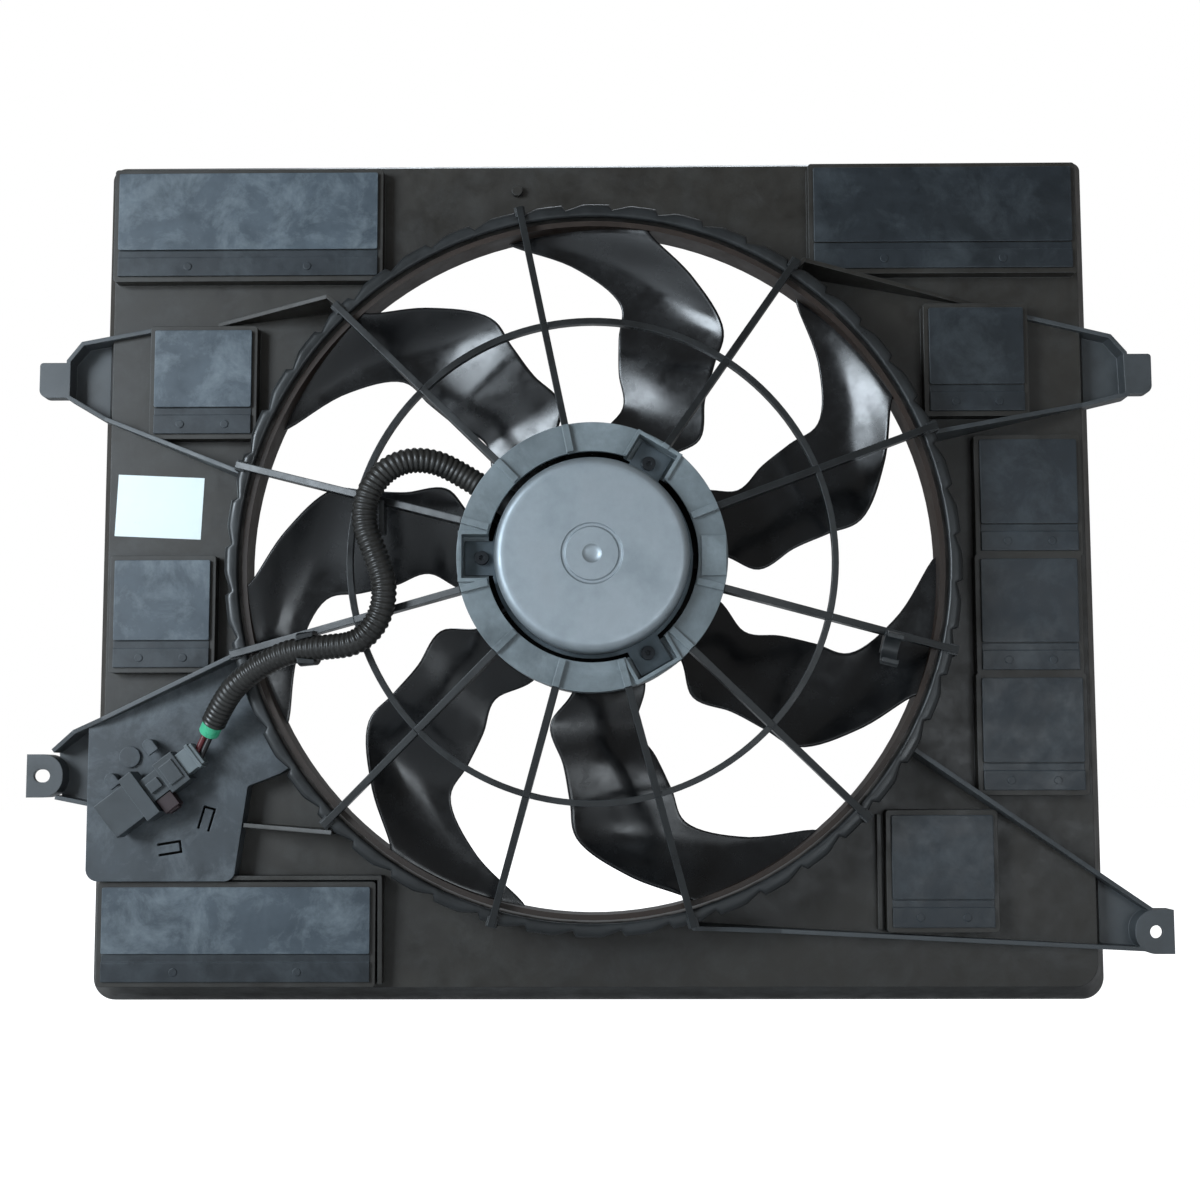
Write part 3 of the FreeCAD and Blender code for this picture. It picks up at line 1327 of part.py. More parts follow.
def spare_clip(spokes):
    """Empty clip on the opposite spoke."""
    angle = SPOKE_ANGLES[10]
    along = polar(1, angle, 0)
    across = polar(1, angle - 90, 0)
    height = spoke_top(CLIP_RADIUS_ON_SPOKE) + CONDUIT_RADIUS + CLIP_WALL + CLEARANCE
    centre = along * CLIP_RADIUS_ON_SPOKE + across * CLIP_OFFSET - AXIS * height
    return clip(centre, along, angle, CLIP_RADIUS_ON_SPOKE, -1).cut(spokes)


def conduit_hook(spokes):
    """Finger on a spoke that keeps the conduit's loop out."""
    return block(HOOK_LEFT, HOOK_LEFT + HOOK_WIDTH, HOOK_BOTTOM, HOOK_TOP, HOOK_NEAR, HOOK_FAR).cut(spokes)


def rating_label():
    """Plain sticker on the plate."""
    label = block(-LABEL_WIDTH / 2, LABEL_WIDTH / 2, -LABEL_HEIGHT / 2, LABEL_HEIGHT / 2,
                  PLATE_Y, PLATE_Y + LABEL_THICKNESS)
    label.rotate(ORIGIN, AXIS, -LABEL_TURN)
    return label.translate(Vector(LABEL_CENTRE[0], 0, LABEL_CENTRE[1]))


def nodes():
    """Every node's name with its shape."""
    barrel = fan_barrel()
    spokes = stator_spokes(barrel)
    body = shroud_body(spokes)
    plate = plug_plate_block()
    pins = terminal_blades()
    tape = wire_tape()
    cover = connector_rear_cover()
    pipe = conduit()
    parts = {
        "shroud_panel": shroud_panel(),
        "fan_barrel": barrel,
        "stator_spokes": spokes,
        "guard_ring": guard_ring(spokes),
        "motor_ring": motor_ring(),
        "ear_upper_left": ear_upper_left(body),
        "ear_upper_right": ear_upper_right(body),
        "ear_lower_left": ear_lower_left(body, plate),
        "ear_lower_right": ear_lower_right(body),
        "barrel_gussets": barrel_gussets(body, plate),
        "connector_plate": connector_plate(body),
        "connector_bracket": connector_bracket(),
        "connector_housing": connector_housing(pins),
        "connector_rear_cover": cover,
        "connector_lock": connector_lock(),
        "terminal_blades": pins,
        "conduit": pipe,
        "wire_tape": tape,
        "lead_wires": lead_wires(tape, cover),
        "conduit_clip": conduit_clip(spokes),
        "spare_clip": spare_clip(spokes),
        "conduit_hook": conduit_hook(spokes),
        "rating_label": rating_label(),
        "motor_yoke": motor_yoke(),
        "motor_flange": motor_flange(),
        "motor_screws": motor_screws(),
        "motor_end_plate": motor_end_plate(),
        "rear_bearing": bearing(YOKE_REAR - YOKE_WALL - BEARING_WIDTH),
        "front_bearing": bearing(YOKE_FRONT - BEARING_WIDTH),
        "magnets": magnets(),
        "brush_plate": brush_plate(),
        "brushes": brushes(),
        "cable_grommet": cable_grommet().cut(pipe),
        "motor_shaft": motor_shaft(),
        "armature_core": armature_core(),
        "armature_windings": armature_windings(),
        "commutator": commutator(),
        "fan_hub": fan_hub(),
        "fan_blades": fan_blades(),
        "fan_band": fan_band(),
        "fan_nut": fan_nut(),
        "flap_strips": solids_of([flap_strip(flap) for flap in FLAPS]),
        "flap_pegs": flap_pegs(),
    }
    for flap in FLAPS:
        parts["flap_" + flap[0]] = flap_leaf(flap)
    return parts


def main():
    """Write one STEP file per node."""
    os.makedirs("parts", exist_ok=True)
    for name, shape in nodes().items():
        shape.exportStep("parts/" + name + ".step")
        print(name, len(shape.Solids), round(shape.Volume / 1000, 2), shape.isValid())


main()
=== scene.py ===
"""Radiator fan module of a passenger car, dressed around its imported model."""
import logging
import math
from dataclasses import dataclass, field
from enum import Enum

import bmesh
import bpy
from mathutils import Matrix, Vector


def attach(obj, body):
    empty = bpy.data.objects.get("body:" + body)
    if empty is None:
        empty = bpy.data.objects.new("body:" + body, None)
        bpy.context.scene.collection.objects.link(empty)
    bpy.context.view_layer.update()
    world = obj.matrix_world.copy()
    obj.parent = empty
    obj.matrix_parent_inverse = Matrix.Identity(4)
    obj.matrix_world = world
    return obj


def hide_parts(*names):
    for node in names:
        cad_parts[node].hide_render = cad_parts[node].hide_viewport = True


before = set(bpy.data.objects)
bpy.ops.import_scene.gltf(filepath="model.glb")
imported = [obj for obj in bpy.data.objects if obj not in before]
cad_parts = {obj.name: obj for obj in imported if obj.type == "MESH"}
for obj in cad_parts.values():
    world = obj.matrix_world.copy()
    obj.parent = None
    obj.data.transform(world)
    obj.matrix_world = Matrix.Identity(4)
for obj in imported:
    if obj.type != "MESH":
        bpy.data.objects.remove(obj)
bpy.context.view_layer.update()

LOG = logging.getLogger("radiator_fan")
MM = 0.001
AXIS = Vector((0.0, 1.0, 0.0))
ORIGIN = Vector((0.0, 0.0, 0.0))


# Colours and nodes

def linear(code: str) -> tuple[float, float, float, float]:
    """Turn an sRGB hex colour into linear RGBA.

    Args:
        code: Six hex digits, such as "3b3a38".

    Returns:
        The linear colour with an alpha of 1.
    """
    parts = [int(code[place:place + 2], 16) / 255 for place in (0, 2, 4)]
    low_part = 0.04045
    red, green, blue = [
        part / 12.92 if part <= low_part else ((part + 0.055) / 1.055) ** 2.4 for part in parts]
    return red, green, blue, 1.0


def add_node(tree: bpy.types.NodeTree, kind: str, settings: dict | None = None,
             **links: object) -> bpy.types.Node:
    """Add a node with its settings, values and links.

    Args:
        tree: The node tree that gets the node.
        kind: The node's type, without the ShaderNode prefix.
        settings: Attributes of the node, such as an operation.
        links: Input names, with spaces as underscores or an index after "i", to a value or an output socket.

    Returns:
        The new node.
    """
    node = tree.nodes.new("ShaderNode" + kind)
    for name, value in (settings or {}).items():
        setattr(node, name, value)
    for name, value in links.items():
        key = int(name[1:]) if name[0] == "i" and name[1:].isdigit() else name.replace("_", " ")
        socket = node.inputs[key]
        if isinstance(value, bpy.types.NodeSocket):
            tree.links.new(value, socket)
        else:
            socket.default_value = value
    return node


def ramp(tree: bpy.types.NodeTree, factor: bpy.types.NodeSocket,
         stops: list[tuple[float, tuple]]) -> bpy.types.NodeSocket:
    """Colour ramp through stops.

    Args:
        tree: The node tree.
        factor: The value that picks the colour.
        stops: Places from 0 to 1 with their colours.

    Returns:
        The ramp's colour socket.
    """
    node = add_node(tree, "ValToRGB", None, Fac=factor)
    elements = node.color_ramp.elements
    while len(elements) < len(stops):
        elements.new(0.5)
    for element, (place, colour) in zip(elements, stops):
        element.position = place
        element.color = colour
    return node.outputs["Color"]


def noise(tree: bpy.types.NodeTree, place: bpy.types.NodeSocket, size_mm: float,
          **settings: float) -> bpy.types.Node:
    """Noise pattern of a real size.

    Args:
        tree: The node tree.
        place: Where the pattern is looked up.
        size_mm: Size of its patches in millimetres.
        settings: Values of the noise's other inputs.

    Returns:
        The noise node.
    """
    return add_node(tree, "TexNoise", None, Vector=place, Scale=1 / (size_mm * MM), **settings)


def blend(tree: bpy.types.NodeTree, share: bpy.types.NodeSocket, under: object,
          over: object) -> bpy.types.NodeSocket:
    """Mix two colours.

    Args:
        tree: The node tree.
        share: Share of the second colour, from 0 to 1.
        under: The first colour, or a socket that gives it.
        over: The second colour, or a socket that gives it.

    Returns:
        The mixed colour's socket.
    """
    return add_node(tree, "Mix", {"data_type": "RGBA"}, i0=share, i6=under, i7=over).outputs[2]


def seen_directly(tree: bpy.types.NodeTree) -> bpy.types.NodeSocket:
    """Mask of the rays that reach the camera, also through clear pieces.

    Args:
        tree: The node tree.

    Returns:
        A socket that gives 1 for such rays and 0 for all others.
    """
    path = add_node(tree, "LightPath").outputs
    seen = add_node(tree, "Math", {"operation": "MAXIMUM"}, i0=path["Is Camera Ray"],
                    i1=path["Is Transmission Ray"])
    return seen.outputs[0]


def grey(value: float) -> tuple[float, float, float, float]:
    """Neutral linear colour, for masks and lamps.

    Args:
        value: Each channel's value.

    Returns:
        The colour with an alpha of 1.
    """
    return value, value, value, 1.0


def new_material(name: str) -> tuple[bpy.types.Material, bpy.types.NodeTree, bpy.types.Node]:
    """Start a material.

    Args:
        name: The material's name.

    Returns:
        The material, its empty node tree with an output, and the Principled shader.
    """
    material = bpy.data.materials.new(name)
    material.use_nodes = True
    tree = material.node_tree
    tree.nodes.clear()
    shader = add_node(tree, "BsdfPrincipled")
    add_node(tree, "OutputMaterial", None, Surface=shader.outputs["BSDF"])
    return material, tree, shader


# Finishes: sizes of their patterns, in millimetres

CLOUD_MM = 90
SMEAR_MM = 18
SCUFF_MM = 26
OXIDE_MM = 25
GRAIN_RELIEF_MM = 0.1
SCRATCH_RELIEF_MM = 0.05


@dataclass(frozen=True)
class MouldedPlastic:
    """Moulded plastic: fine spark-eroded grain, handling dust in broad clouds, and a painted highlight on
    edges.

    Attributes:
        name: Common name of the plastic and its use.
        base: Colour of the clean plastic.
        dust: Colour of the dust haze that lies on it; for the lit copies and the band it is also painted
            light.
        haze: Share of haze, from 0 to 1.
        roughness: Roughness of the clean skin.
        grain_mm: Size of the moulded grain.
        grain_depth: Strength of the grain's bump.
        edge: Colour of the painted highlight on edges, and of the pale rubbed marks.
        edge_mm: Width of the rounding that shows on edges and of their painted highlight, or 0 for none.
        ior: Index of refraction.
        scuff: Strength of pale rubbed marks, from 0 to 1.
    """

    name: str
    base: str
    dust: str
    haze: float = 0.35
    roughness: float = 0.45
    grain_mm: float = 0.8
    grain_depth: float = 0.15
    edge: str = "6a6c6c"
    edge_mm: float = 0.7
    ior: float = 1.49
    scuff: float = 0.0

    def make(self) -> bpy.types.Material:
        """Build the material.

        Returns:
            The material.
        """
        material, tree, shader = new_material(self.name)
        place = add_node(tree, "TexCoord").outputs["Object"]
        clouds = noise(tree, place, CLOUD_MM, Detail=5.0, Roughness=0.6)
        smears = noise(tree, place, SMEAR_MM, Detail=6.0, Roughness=0.65)
        grain = noise(tree, place, self.grain_mm, Detail=2.0)
        cover = add_node(tree, "Math", {"operation": "MULTIPLY"}, i0=clouds.outputs["Fac"],
                         i1=smears.outputs["Fac"])
        mask = ramp(tree, cover.outputs[0], [(0.12, grey(0.3 * self.haze)), (0.44, grey(self.haze))])
        base = blend(tree, mask, linear(self.base), linear(self.dust))
        if self.scuff > 0:
            marks = noise(tree, place, SCUFF_MM, Detail=9.0, Roughness=0.72, Distortion=0.35)
            rubbed = ramp(tree, marks.outputs["Fac"], [(0.47, grey(0.0)), (0.7, grey(self.scuff))])
            base = blend(tree, rubbed, base, linear(self.edge))
        normal = None
        if self.edge_mm > 0:
            rounding = add_node(tree, "Bevel", {"samples": 6}, Radius=self.edge_mm * MM)
            normal = rounding.outputs["Normal"]
            facing = add_node(tree, "NewGeometry").outputs["Normal"]
            dot = add_node(tree, "VectorMath", {"operation": "DOT_PRODUCT"}, i0=normal, i1=facing)
            # Painted highlight: rounded edges get a paler base colour, in patches, in place of the light
            # that they catch.
            edge_highlight_mask = ramp(tree, dot.outputs["Value"], [(0.80, grey(0.55)), (0.97, grey(0.0))])
            patchy_edge_highlight = add_node(tree, "Math", {"operation": "MULTIPLY"}, i0=edge_highlight_mask, i1=smears.outputs["Fac"])
            base = blend(tree, patchy_edge_highlight.outputs[0], base, linear(self.edge))
        tree.links.new(base, shader.inputs["Base Color"])
        rough = add_node(tree, "MapRange", None, Value=smears.outputs["Fac"], i1=0.3, i2=0.7,
                         i3=self.roughness - 0.08, i4=self.roughness + 0.14)
        tree.links.new(rough.outputs["Result"], shader.inputs["Roughness"])
        bump = add_node(tree, "Bump", None, Strength=self.grain_depth, Distance=GRAIN_RELIEF_MM * MM,
                        Height=grain.outputs["Fac"])
        if normal is not None:
            tree.links.new(normal, bump.inputs["Normal"])
        tree.links.new(bump.outputs["Normal"], shader.inputs["Normal"])
        shader.inputs["IOR"].default_value = self.ior
        return material


@dataclass(frozen=True)
class SatinMetal:
    """Metal sheet or bar: a directionless satin with cloudy oxide and fine scratches.

    Attributes:
        name: Common name of the metal and its use.
        base: Colour of the clean metal.
        stain: Colour of its oxide or grime.
        roughness: Roughness of the clean metal.
        metallic: 1 for bare or plated metal, less for a filmed one.
        scratch_mm: Spacing of the scratches.
        edge_mm: Width of the rounding that shows on edges.
    """

    name: str
    base: str
    stain: str
    roughness: float = 0.35
    metallic: float = 1.0
    scratch_mm: float = 1.2
    edge_mm: float = 0.5

    def make(self) -> bpy.types.Material:
        """Build the material.

        Returns:
            The material.
        """
        material, tree, shader = new_material(self.name)
        place = add_node(tree, "TexCoord").outputs["Object"]
        clouds = noise(tree, place, OXIDE_MM, Detail=6.0, Roughness=0.6)
        mask = ramp(tree, clouds.outputs["Fac"], [(0.35, grey(0.0)), (0.65, grey(0.7))])
        base = blend(tree, mask, linear(self.base), linear(self.stain))
        tree.links.new(base, shader.inputs["Base Color"])
        shader.inputs["Metallic"].default_value = self.metallic
        rough = add_node(tree, "MapRange", None, Value=clouds.outputs["Fac"], i1=0.3, i2=0.7,
                         i3=self.roughness - 0.05, i4=self.roughness + 0.15)
        tree.links.new(rough.outputs["Result"], shader.inputs["Roughness"])
        scratches = noise(tree, place, self.scratch_mm, Detail=3.0)
        rounding = add_node(tree, "Bevel", {"samples": 6}, Radius=self.edge_mm * MM)
        bump = add_node(tree, "Bump", None, Strength=0.12, Distance=SCRATCH_RELIEF_MM * MM,
                        Height=scratches.outputs["Fac"], Normal=rounding.outputs["Normal"])
        tree.links.new(bump.outputs["Normal"], shader.inputs["Normal"])
        return material


def paint(node: str, material: bpy.types.Material) -> None:
    """Give a carried-over node of the frame a material in every slot.

    Args:
        node: The node's name.
        material: What it gets.
    """
    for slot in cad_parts[node].material_slots:
        slot.material = material


@dataclass
class Studio:
    """Camera at the photograph's angle, soft light from the left, pale floor and white surroundings.

    Attributes:
        camera_place: Where the camera stands.
        camera_forward: The way that it looks.
        lens_mm: Its focal length.
        sensor_mm: Width of its sensor.
        shift_x: Sideways shift of its lens, in sensor widths.
        roll: Its turn about the line of sight, in radians.
        floor_z: Height of the floor.
        room_strength: Light of the room, where the camera sees it as 1.
        floor_glow: Light that the floor seems to give off to the camera.
    """

    camera_place: Vector = field(default_factory=lambda: Vector((10.84, -1052.1, -119.6)) * MM)
    camera_forward: Vector = field(default_factory=lambda: Vector((-0.01128, 1.0, 0.09984)))
    lens_mm: float = 53.18
    sensor_mm: float = 36.0
    shift_x: float = 0.00645
    roll: float = -0.00216
    floor_z: float = -250.0 * MM
    room_strength: float = 0.2
    floor_glow: float = 0.92

    def build(self) -> None:
        """Make the camera, the lamps, the floor and the world."""
        scene = bpy.context.scene
        scene.view_settings.view_transform = "Standard"
        data = bpy.data.cameras.new("photo_camera")
        data.sensor_width = self.sensor_mm
        data.lens = self.lens_mm
        data.shift_x = self.shift_x
        camera = bpy.data.objects.new("photo_camera", data)
        turn = self.camera_forward.to_track_quat("-Z", "Y").to_matrix().to_4x4()
        roll = Matrix.Rotation(self.roll, 4, "Z")
        camera.matrix_world = Matrix.Translation(self.camera_place) @ turn @ roll
        scene.collection.objects.link(camera)
        scene.camera = camera
        self.lamp("key", Vector((-1.3, -1.4, 0.35)), 0.7, 36.0, "dde9f3")
        self.lamp("low_window", Vector((0.55, -1.6, -0.3)), 0.7, 8.0, "e3ecf3")
        self.lamp("back_window", Vector((0.0, 1.5, 1.6)), 1.0, 16.0, "e6eef6")
        self.world()
        self.floor()

    def lamp(self, name: str, place: Vector, size: float, watts: float, colour: str) -> None:
        """Add an area lamp that faces the fan.

        Args:
            name: The lamp's name.
            place: Where it stands.
            size: Its side in metres.
            watts: Its power.
            colour: Its colour.
        """
        data = bpy.data.lights.new(name, "AREA")
        data.color = linear(colour)[:3]
        data.size = size
        data.energy = watts
        lamp = bpy.data.objects.new(name, data)
        turn = (-place).to_track_quat("-Z", "Y").to_matrix().to_4x4()
        lamp.matrix_world = Matrix.Translation(place) @ turn
        bpy.context.scene.collection.objects.link(lamp)

    def world(self) -> None:
        """White where the camera sees it, and a soft grey room for the light."""
        world = bpy.data.worlds.new("studio")
        world.use_nodes = True
        tree = world.node_tree
        tree.nodes.clear()
        seen = seen_directly(tree)
        strength = add_node(tree, "MapRange", None, Value=seen, i3=self.room_strength, i4=1.0)
        room = add_node(tree, "Background", None, Color=grey(1.0), Strength=strength.outputs["Result"])
        add_node(tree, "OutputWorld", None, Surface=room.outputs[0])
        bpy.context.scene.world = world

    def floor(self) -> None:
        """Plain pale floor that stays white to the camera and keeps a soft shadow."""
        mesh = bpy.data.meshes.new("floor")
        shape = bmesh.new()
        bmesh.ops.create_grid(shape, x_segments=1, y_segments=1, size=6.0)
        bmesh.ops.translate(shape, verts=shape.verts, vec=(0, 0, self.floor_z))
        shape.to_mesh(mesh)
        shape.free()
        floor = bpy.data.objects.new("floor", mesh)
        bpy.context.scene.collection.objects.link(floor)
        material, tree, shader = new_material("pale_floor")
        shader.inputs["Base Color"].default_value = grey(0.85)
        shader.inputs["Roughness"].default_value = 0.9
        shader.inputs["Emission Color"].default_value = grey(1.0)
        seen = seen_directly(tree)
        glow = add_node(tree, "Math", {"operation": "MULTIPLY"}, i0=seen, i1=self.floor_glow)
        tree.links.new(glow.outputs[0], shader.inputs["Emission Strength"])
        mesh.materials.append(material)


# Sizes that the dressed pieces share with the solids, in millimetres

TURN = 2 * math.pi
HUB_RADIUS = 72.0
BAND_INNER = 195.5
BLADE_COUNT = 7
BLADE_LEADING = 44.0
BLADE_TRAILING = 57.8
BLADE_CAMBER = 0.45
BLADE_WAVE = 2.4
BLADE_STATIONS = (
    (72.0, 4.0, 37.0),
    (92.6, -2.1, 28.1),
    (113.2, 4.1, 30.9),
    (133.8, 7.2, 32.1),
    (154.4, 9.5, 32.7),
    (174.9, 19.1, 41.7),
    (195.5, 29.0, 53.0),
)
TOOTH_COUNT = 48
TOOTH_DEPTH = 3.4
TOOTH_FLAT = 0.6
TOOTH_START = 4.4
BARREL_INNER = 201.0
BARREL_OUTER = 204.5
BARREL_FRONT = 23.5
LIP_INNER = 200.0
LIP_OUTER = 207.8
LIP_BASE = 54.0
YOKE_RADIUS = 53.0
YOKE_REAR = 108.0
YOKE_FRONT = 58.0
CONDUIT_RADIUS = 7.0
CONDUIT_ROUTE = (
    (-53.5, -84.0, 35.1),
    (-70.8, -84.0, 46.5),
    (-88.5, -90.0, 54.6),
    (-107.5, -94.8, 52.4),
    (-121.6, -96.4, 38.5),
    (-125.4, -96.4, 19.5),
    (-118.0, -95.2, 1.5),
    (-112.2, -95.2, -16.0),
    (-115.0, -95.0, -34.0),
    (-127.2, -93.4, -47.4),
    (-146.2, -89.0, -48.9),
    (-165.0, -84.6, -50.3),
    (-181.6, -79.6, -57.2),
    (-195.6, -73.2, -66.2),
    (-206.0, -64.6, -77.0),
    (-213.2, -56.0, -88.2),
)
TAPE_LENGTH = 8.0
PLUG_START = (-222.0, -105.5)
PLUG_ANGLE = 217.6
WIRE_DEPTH = 51.5
WIRE_RADIUS = 1.7
WIRE_OFFSET = 1.85


class Body(Enum):
    """Bodies that the dressed pieces ride on."""

    SHROUD = "shroud"
    FAN = "fan"


# Shapes

def spot(radius: float, degrees: float, depth: float) -> Vector:
    """Point in front of the rim plane.

    Args:
        radius: Distance from the fan's axis in millimetres.
        degrees: Angle from +X.
        depth: Distance from the rim plane in millimetres.

    Returns:
        The point in metres.
    """
    angle = math.radians(degrees)
    return Vector((radius * math.cos(angle), -depth, radius * math.sin(angle))) * MM


def finish_piece(name: str, shape: bmesh.types.BMesh, material: bpy.types.Material, body: Body,
                 nodes: tuple[str, ...], sharp: float = 40.0) -> bpy.types.Object:
    """Turn a mesh under work into a piece that stands in for nodes.

    Args:
        name: The piece's name.
        shape: The mesh under work, which is freed.
        material: Its material.
        body: The body that it rides on.
        nodes: The nodes that it stands in for.
        sharp: Edges that bend by more degrees stay crisp.

    Returns:
        The piece.
    """
    bmesh.ops.remove_doubles(shape, verts=shape.verts, dist=0.002 * MM)
    bmesh.ops.recalc_face_normals(shape, faces=shape.faces)
    mesh = bpy.data.meshes.new(name)
    shape.to_mesh(mesh)
    shape.free()
    mesh.shade_smooth()
    mesh.set_sharp_from_angle(angle=math.radians(sharp))
    mesh.materials.append(material)
    piece = bpy.data.objects.new(name, mesh)
    bpy.context.scene.collection.objects.link(piece)
    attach(piece, body.value)
    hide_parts(*nodes)
    return piece


def rounded_edges(piece: bpy.types.Object, width: float, segments: int = 3) -> None:
    """Round a piece's sharp edges.

    Args:
        piece: The piece.
        width: Width of the rounding in millimetres.
        segments: Facets across it.
    """
    bevel = piece.modifiers.new("edge_rounding", "BEVEL")
    bevel.width = width * MM
    bevel.segments = segments
    bevel.limit_method = "ANGLE"
    bevel.angle_limit = math.radians(40)


def turned(profile: list[tuple[float, float]], steps: int) -> bmesh.types.BMesh:
    """Turn a chain of (radius, depth) points about the fan's axis.

    Args:
        profile: The chain, closed by its first point where it starts away from the axis.
        steps: Steps of the full turn.

    Returns:
        The mesh under work.
    """
    shape = bmesh.new()
    verts = [shape.verts.new(Vector((radius, -depth, 0)) * MM) for radius, depth in profile]
    chain = list(zip(verts, verts[1:]))
    if profile[0][0] > 0:
        chain.append((verts[-1], verts[0]))
    edges = [shape.edges.new(pair) for pair in chain]
    bmesh.ops.spin(shape, geom=verts + edges, cent=ORIGIN, axis=AXIS, dvec=ORIGIN, angle=TURN, steps=steps,
                   use_merge=True)
    return shape


def arc(centre: tuple[float, float], radius: float, start: float, end: float,
        count: int) -> list[tuple[float, float]]:
    """Points of a rounding in a profile.

    Args:
        centre: The rounding's centre as (radius, depth).
        radius: The rounding's radius.
        start: First angle in degrees, from the outward direction towards the engine.
        end: Last angle.
        count: Steps between the two.

    Returns:
        The points as (radius, depth).
    """
    angles = [math.radians(start + (end - start) * index / count) for index in range(count + 1)]
    return [(centre[0] + radius * math.cos(angle), centre[1] + radius * math.sin(angle)) for angle in angles]


def smooth_between(stations: tuple, radius: float) -> tuple[float, float]:
    """Edge angles of a blade by a smooth curve through its stations.

    Args:
        stations: The stations as (radius, trailing angle, leading angle), evenly spaced.
        radius: Where the angles are wanted.

    Returns:
        The trailing and the leading edge's angle in degrees.
    """
    place = (radius - stations[0][0]) / (stations[-1][0] - stations[0][0]) * (len(stations) - 1)
    index = min(max(int(place), 0), len(stations) - 2)
    share = place - index
    four = [stations[min(max(index + shift, 0), len(stations) - 1)] for shift in (-1, 0, 1, 2)]
    result = []
    for column in (1, 2):
        before, start, end, after = (station[column] for station in four)
        square = 2 * before - 5 * start + 4 * end - after
        cube = 3 * start - before - 3 * end + after
        result.append(0.5 * (2 * start + (end - before) * share + square * share ** 2 + cube * share ** 3))
    return result[0], result[1]


def blade_point(across: float, share: float) -> Vector:
    """Point on a blade's middle surface.

    Args:
        across: 0 at the hub and 1 at the band.
        share: 0 at the leading edge and 1 at the trailing edge.

    Returns:
        The point in metres.
    """
    radius = HUB_RADIUS - 1 + (BAND_INNER - HUB_RADIUS + 2) * across
    trailing, leading = smooth_between(BLADE_STATIONS, radius)
    rise = share + BLADE_CAMBER * (share * share - share)
    depth = BLADE_LEADING + (BLADE_TRAILING - BLADE_LEADING) * rise
    depth += BLADE_WAVE * math.sin(TURN * across) * math.sin(math.pi * share)
    return spot(radius, leading + (trailing - leading) * share, depth)


@dataclass
class Fan:
    """Glossy blades of the banded fan.

    Attributes:
        thickness_mm: Thickness of a blade.
        across: Faces from hub to band.
        along: Faces from edge to edge.
    """

    thickness_mm: float = 2.4
    across: int = 44
    along: int = 26

    def build(self, material: bpy.types.Material) -> None:
        """Make the seven blades as one piece.

        Args:
            material: The blades' plastic.
        """
        shape = bmesh.new()
        for turn in range(BLADE_COUNT):
            made = bmesh.ops.create_grid(shape, x_segments=self.across, y_segments=self.along, size=0.5)
            for vert in made["verts"]:
                vert.co = blade_point(vert.co.x + 0.5, vert.co.y + 0.5)
            bmesh.ops.rotate(shape, verts=made["verts"], cent=ORIGIN,
                             matrix=Matrix.Rotation(-TURN * turn / BLADE_COUNT, 3, AXIS))
        piece = finish_piece("fan_blade_set", shape, material, Body.FAN, ("fan_blades",))
        skin = piece.modifiers.new("blade_thickness", "SOLIDIFY")
        skin.thickness = self.thickness_mm * MM
        skin.offset = 0.0
        rounded_edges(piece, 0.8)


@dataclass
class Barrel:
    """Barrel with the ratchet-toothed lip: each tooth has a flat crest, a ramp down and a sharp step.

    Attributes:
        steps_per_tooth: Steps of the turned shape in one tooth.
    """

    steps_per_tooth: int = 14

    def tooth(self, degrees: float) -> float:
        """Depth of the ratchet.

        Args:
            degrees: Angle from +X.

        Returns:
            How far the lip's outline lies inside its crest, in millimetres.
        """
        phase = ((degrees - TOOTH_START) * TOOTH_COUNT / 360.0) % 1.0
        return TOOTH_DEPTH * max(0.0, (phase - TOOTH_FLAT) / (1 - TOOTH_FLAT))

    def build(self, material: bpy.types.Material) -> None:
        """Make the barrel.

        Args:
            material: The barrel's plastic.
        """
        bead = arc((LIP_INNER + 1.8, 62.2), 1.8, 180, 90, 4) + arc((LIP_OUTER - 3.4, 60.6), 3.4, 90, 0, 6)
        profile = [(BARREL_INNER, BARREL_FRONT), (BARREL_INNER, 58.0), (LIP_INNER, 60.0)] + bead
        profile += [(LIP_OUTER, LIP_BASE), (BARREL_OUTER, LIP_BASE), (BARREL_OUTER, BARREL_FRONT)]
        shape = turned(profile, TOOTH_COUNT * self.steps_per_tooth)
        for vert in shape.verts:
            radius = math.hypot(vert.co.x, vert.co.z)
            if vert.co.y > -(LIP_BASE - 0.5) * MM or radius < (LIP_INNER + 0.5) * MM:
                continue
            share = (radius / MM - LIP_INNER) / (LIP_OUTER - LIP_INNER)
            inward = self.tooth(math.degrees(math.atan2(vert.co.z, vert.co.x))) * share
            scale = 1 - inward * MM / radius
            vert.co.x *= scale
            vert.co.z *= scale
        finish_piece("toothed_barrel", shape, material, Body.SHROUD, ("fan_barrel",), 50.0)


@dataclass
class Motor:
    """Deep-drawn can: broad shoulder, ring groove and dimple in the cap."""

    def build(self, material: bpy.types.Material) -> None:
        """Make the can.

        Args:
            material: The can's metal.
        """
        rear = YOKE_REAR
        inner = YOKE_RADIUS - 2.5
        profile = [(0.0, rear - 1.1), (2.6, rear - 1.1), (4.4, rear - 0.6), (5.2, rear)]
        profile += [(14.2, rear), (14.9, rear - 0.75), (16.1, rear - 0.75), (16.8, rear), (46.5, rear)]
        profile += arc((YOKE_RADIUS - 5.0, rear - 5.0), 5.0, 84, 0, 10)
        profile += [(YOKE_RADIUS, YOKE_FRONT), (inner, YOKE_FRONT), (inner, rear - 3.0), (0.0, rear - 3.0)]
        finish_piece("drawn_motor_can", turned(profile, 180), material, Body.SHROUD, ("motor_yoke",), 30.0)


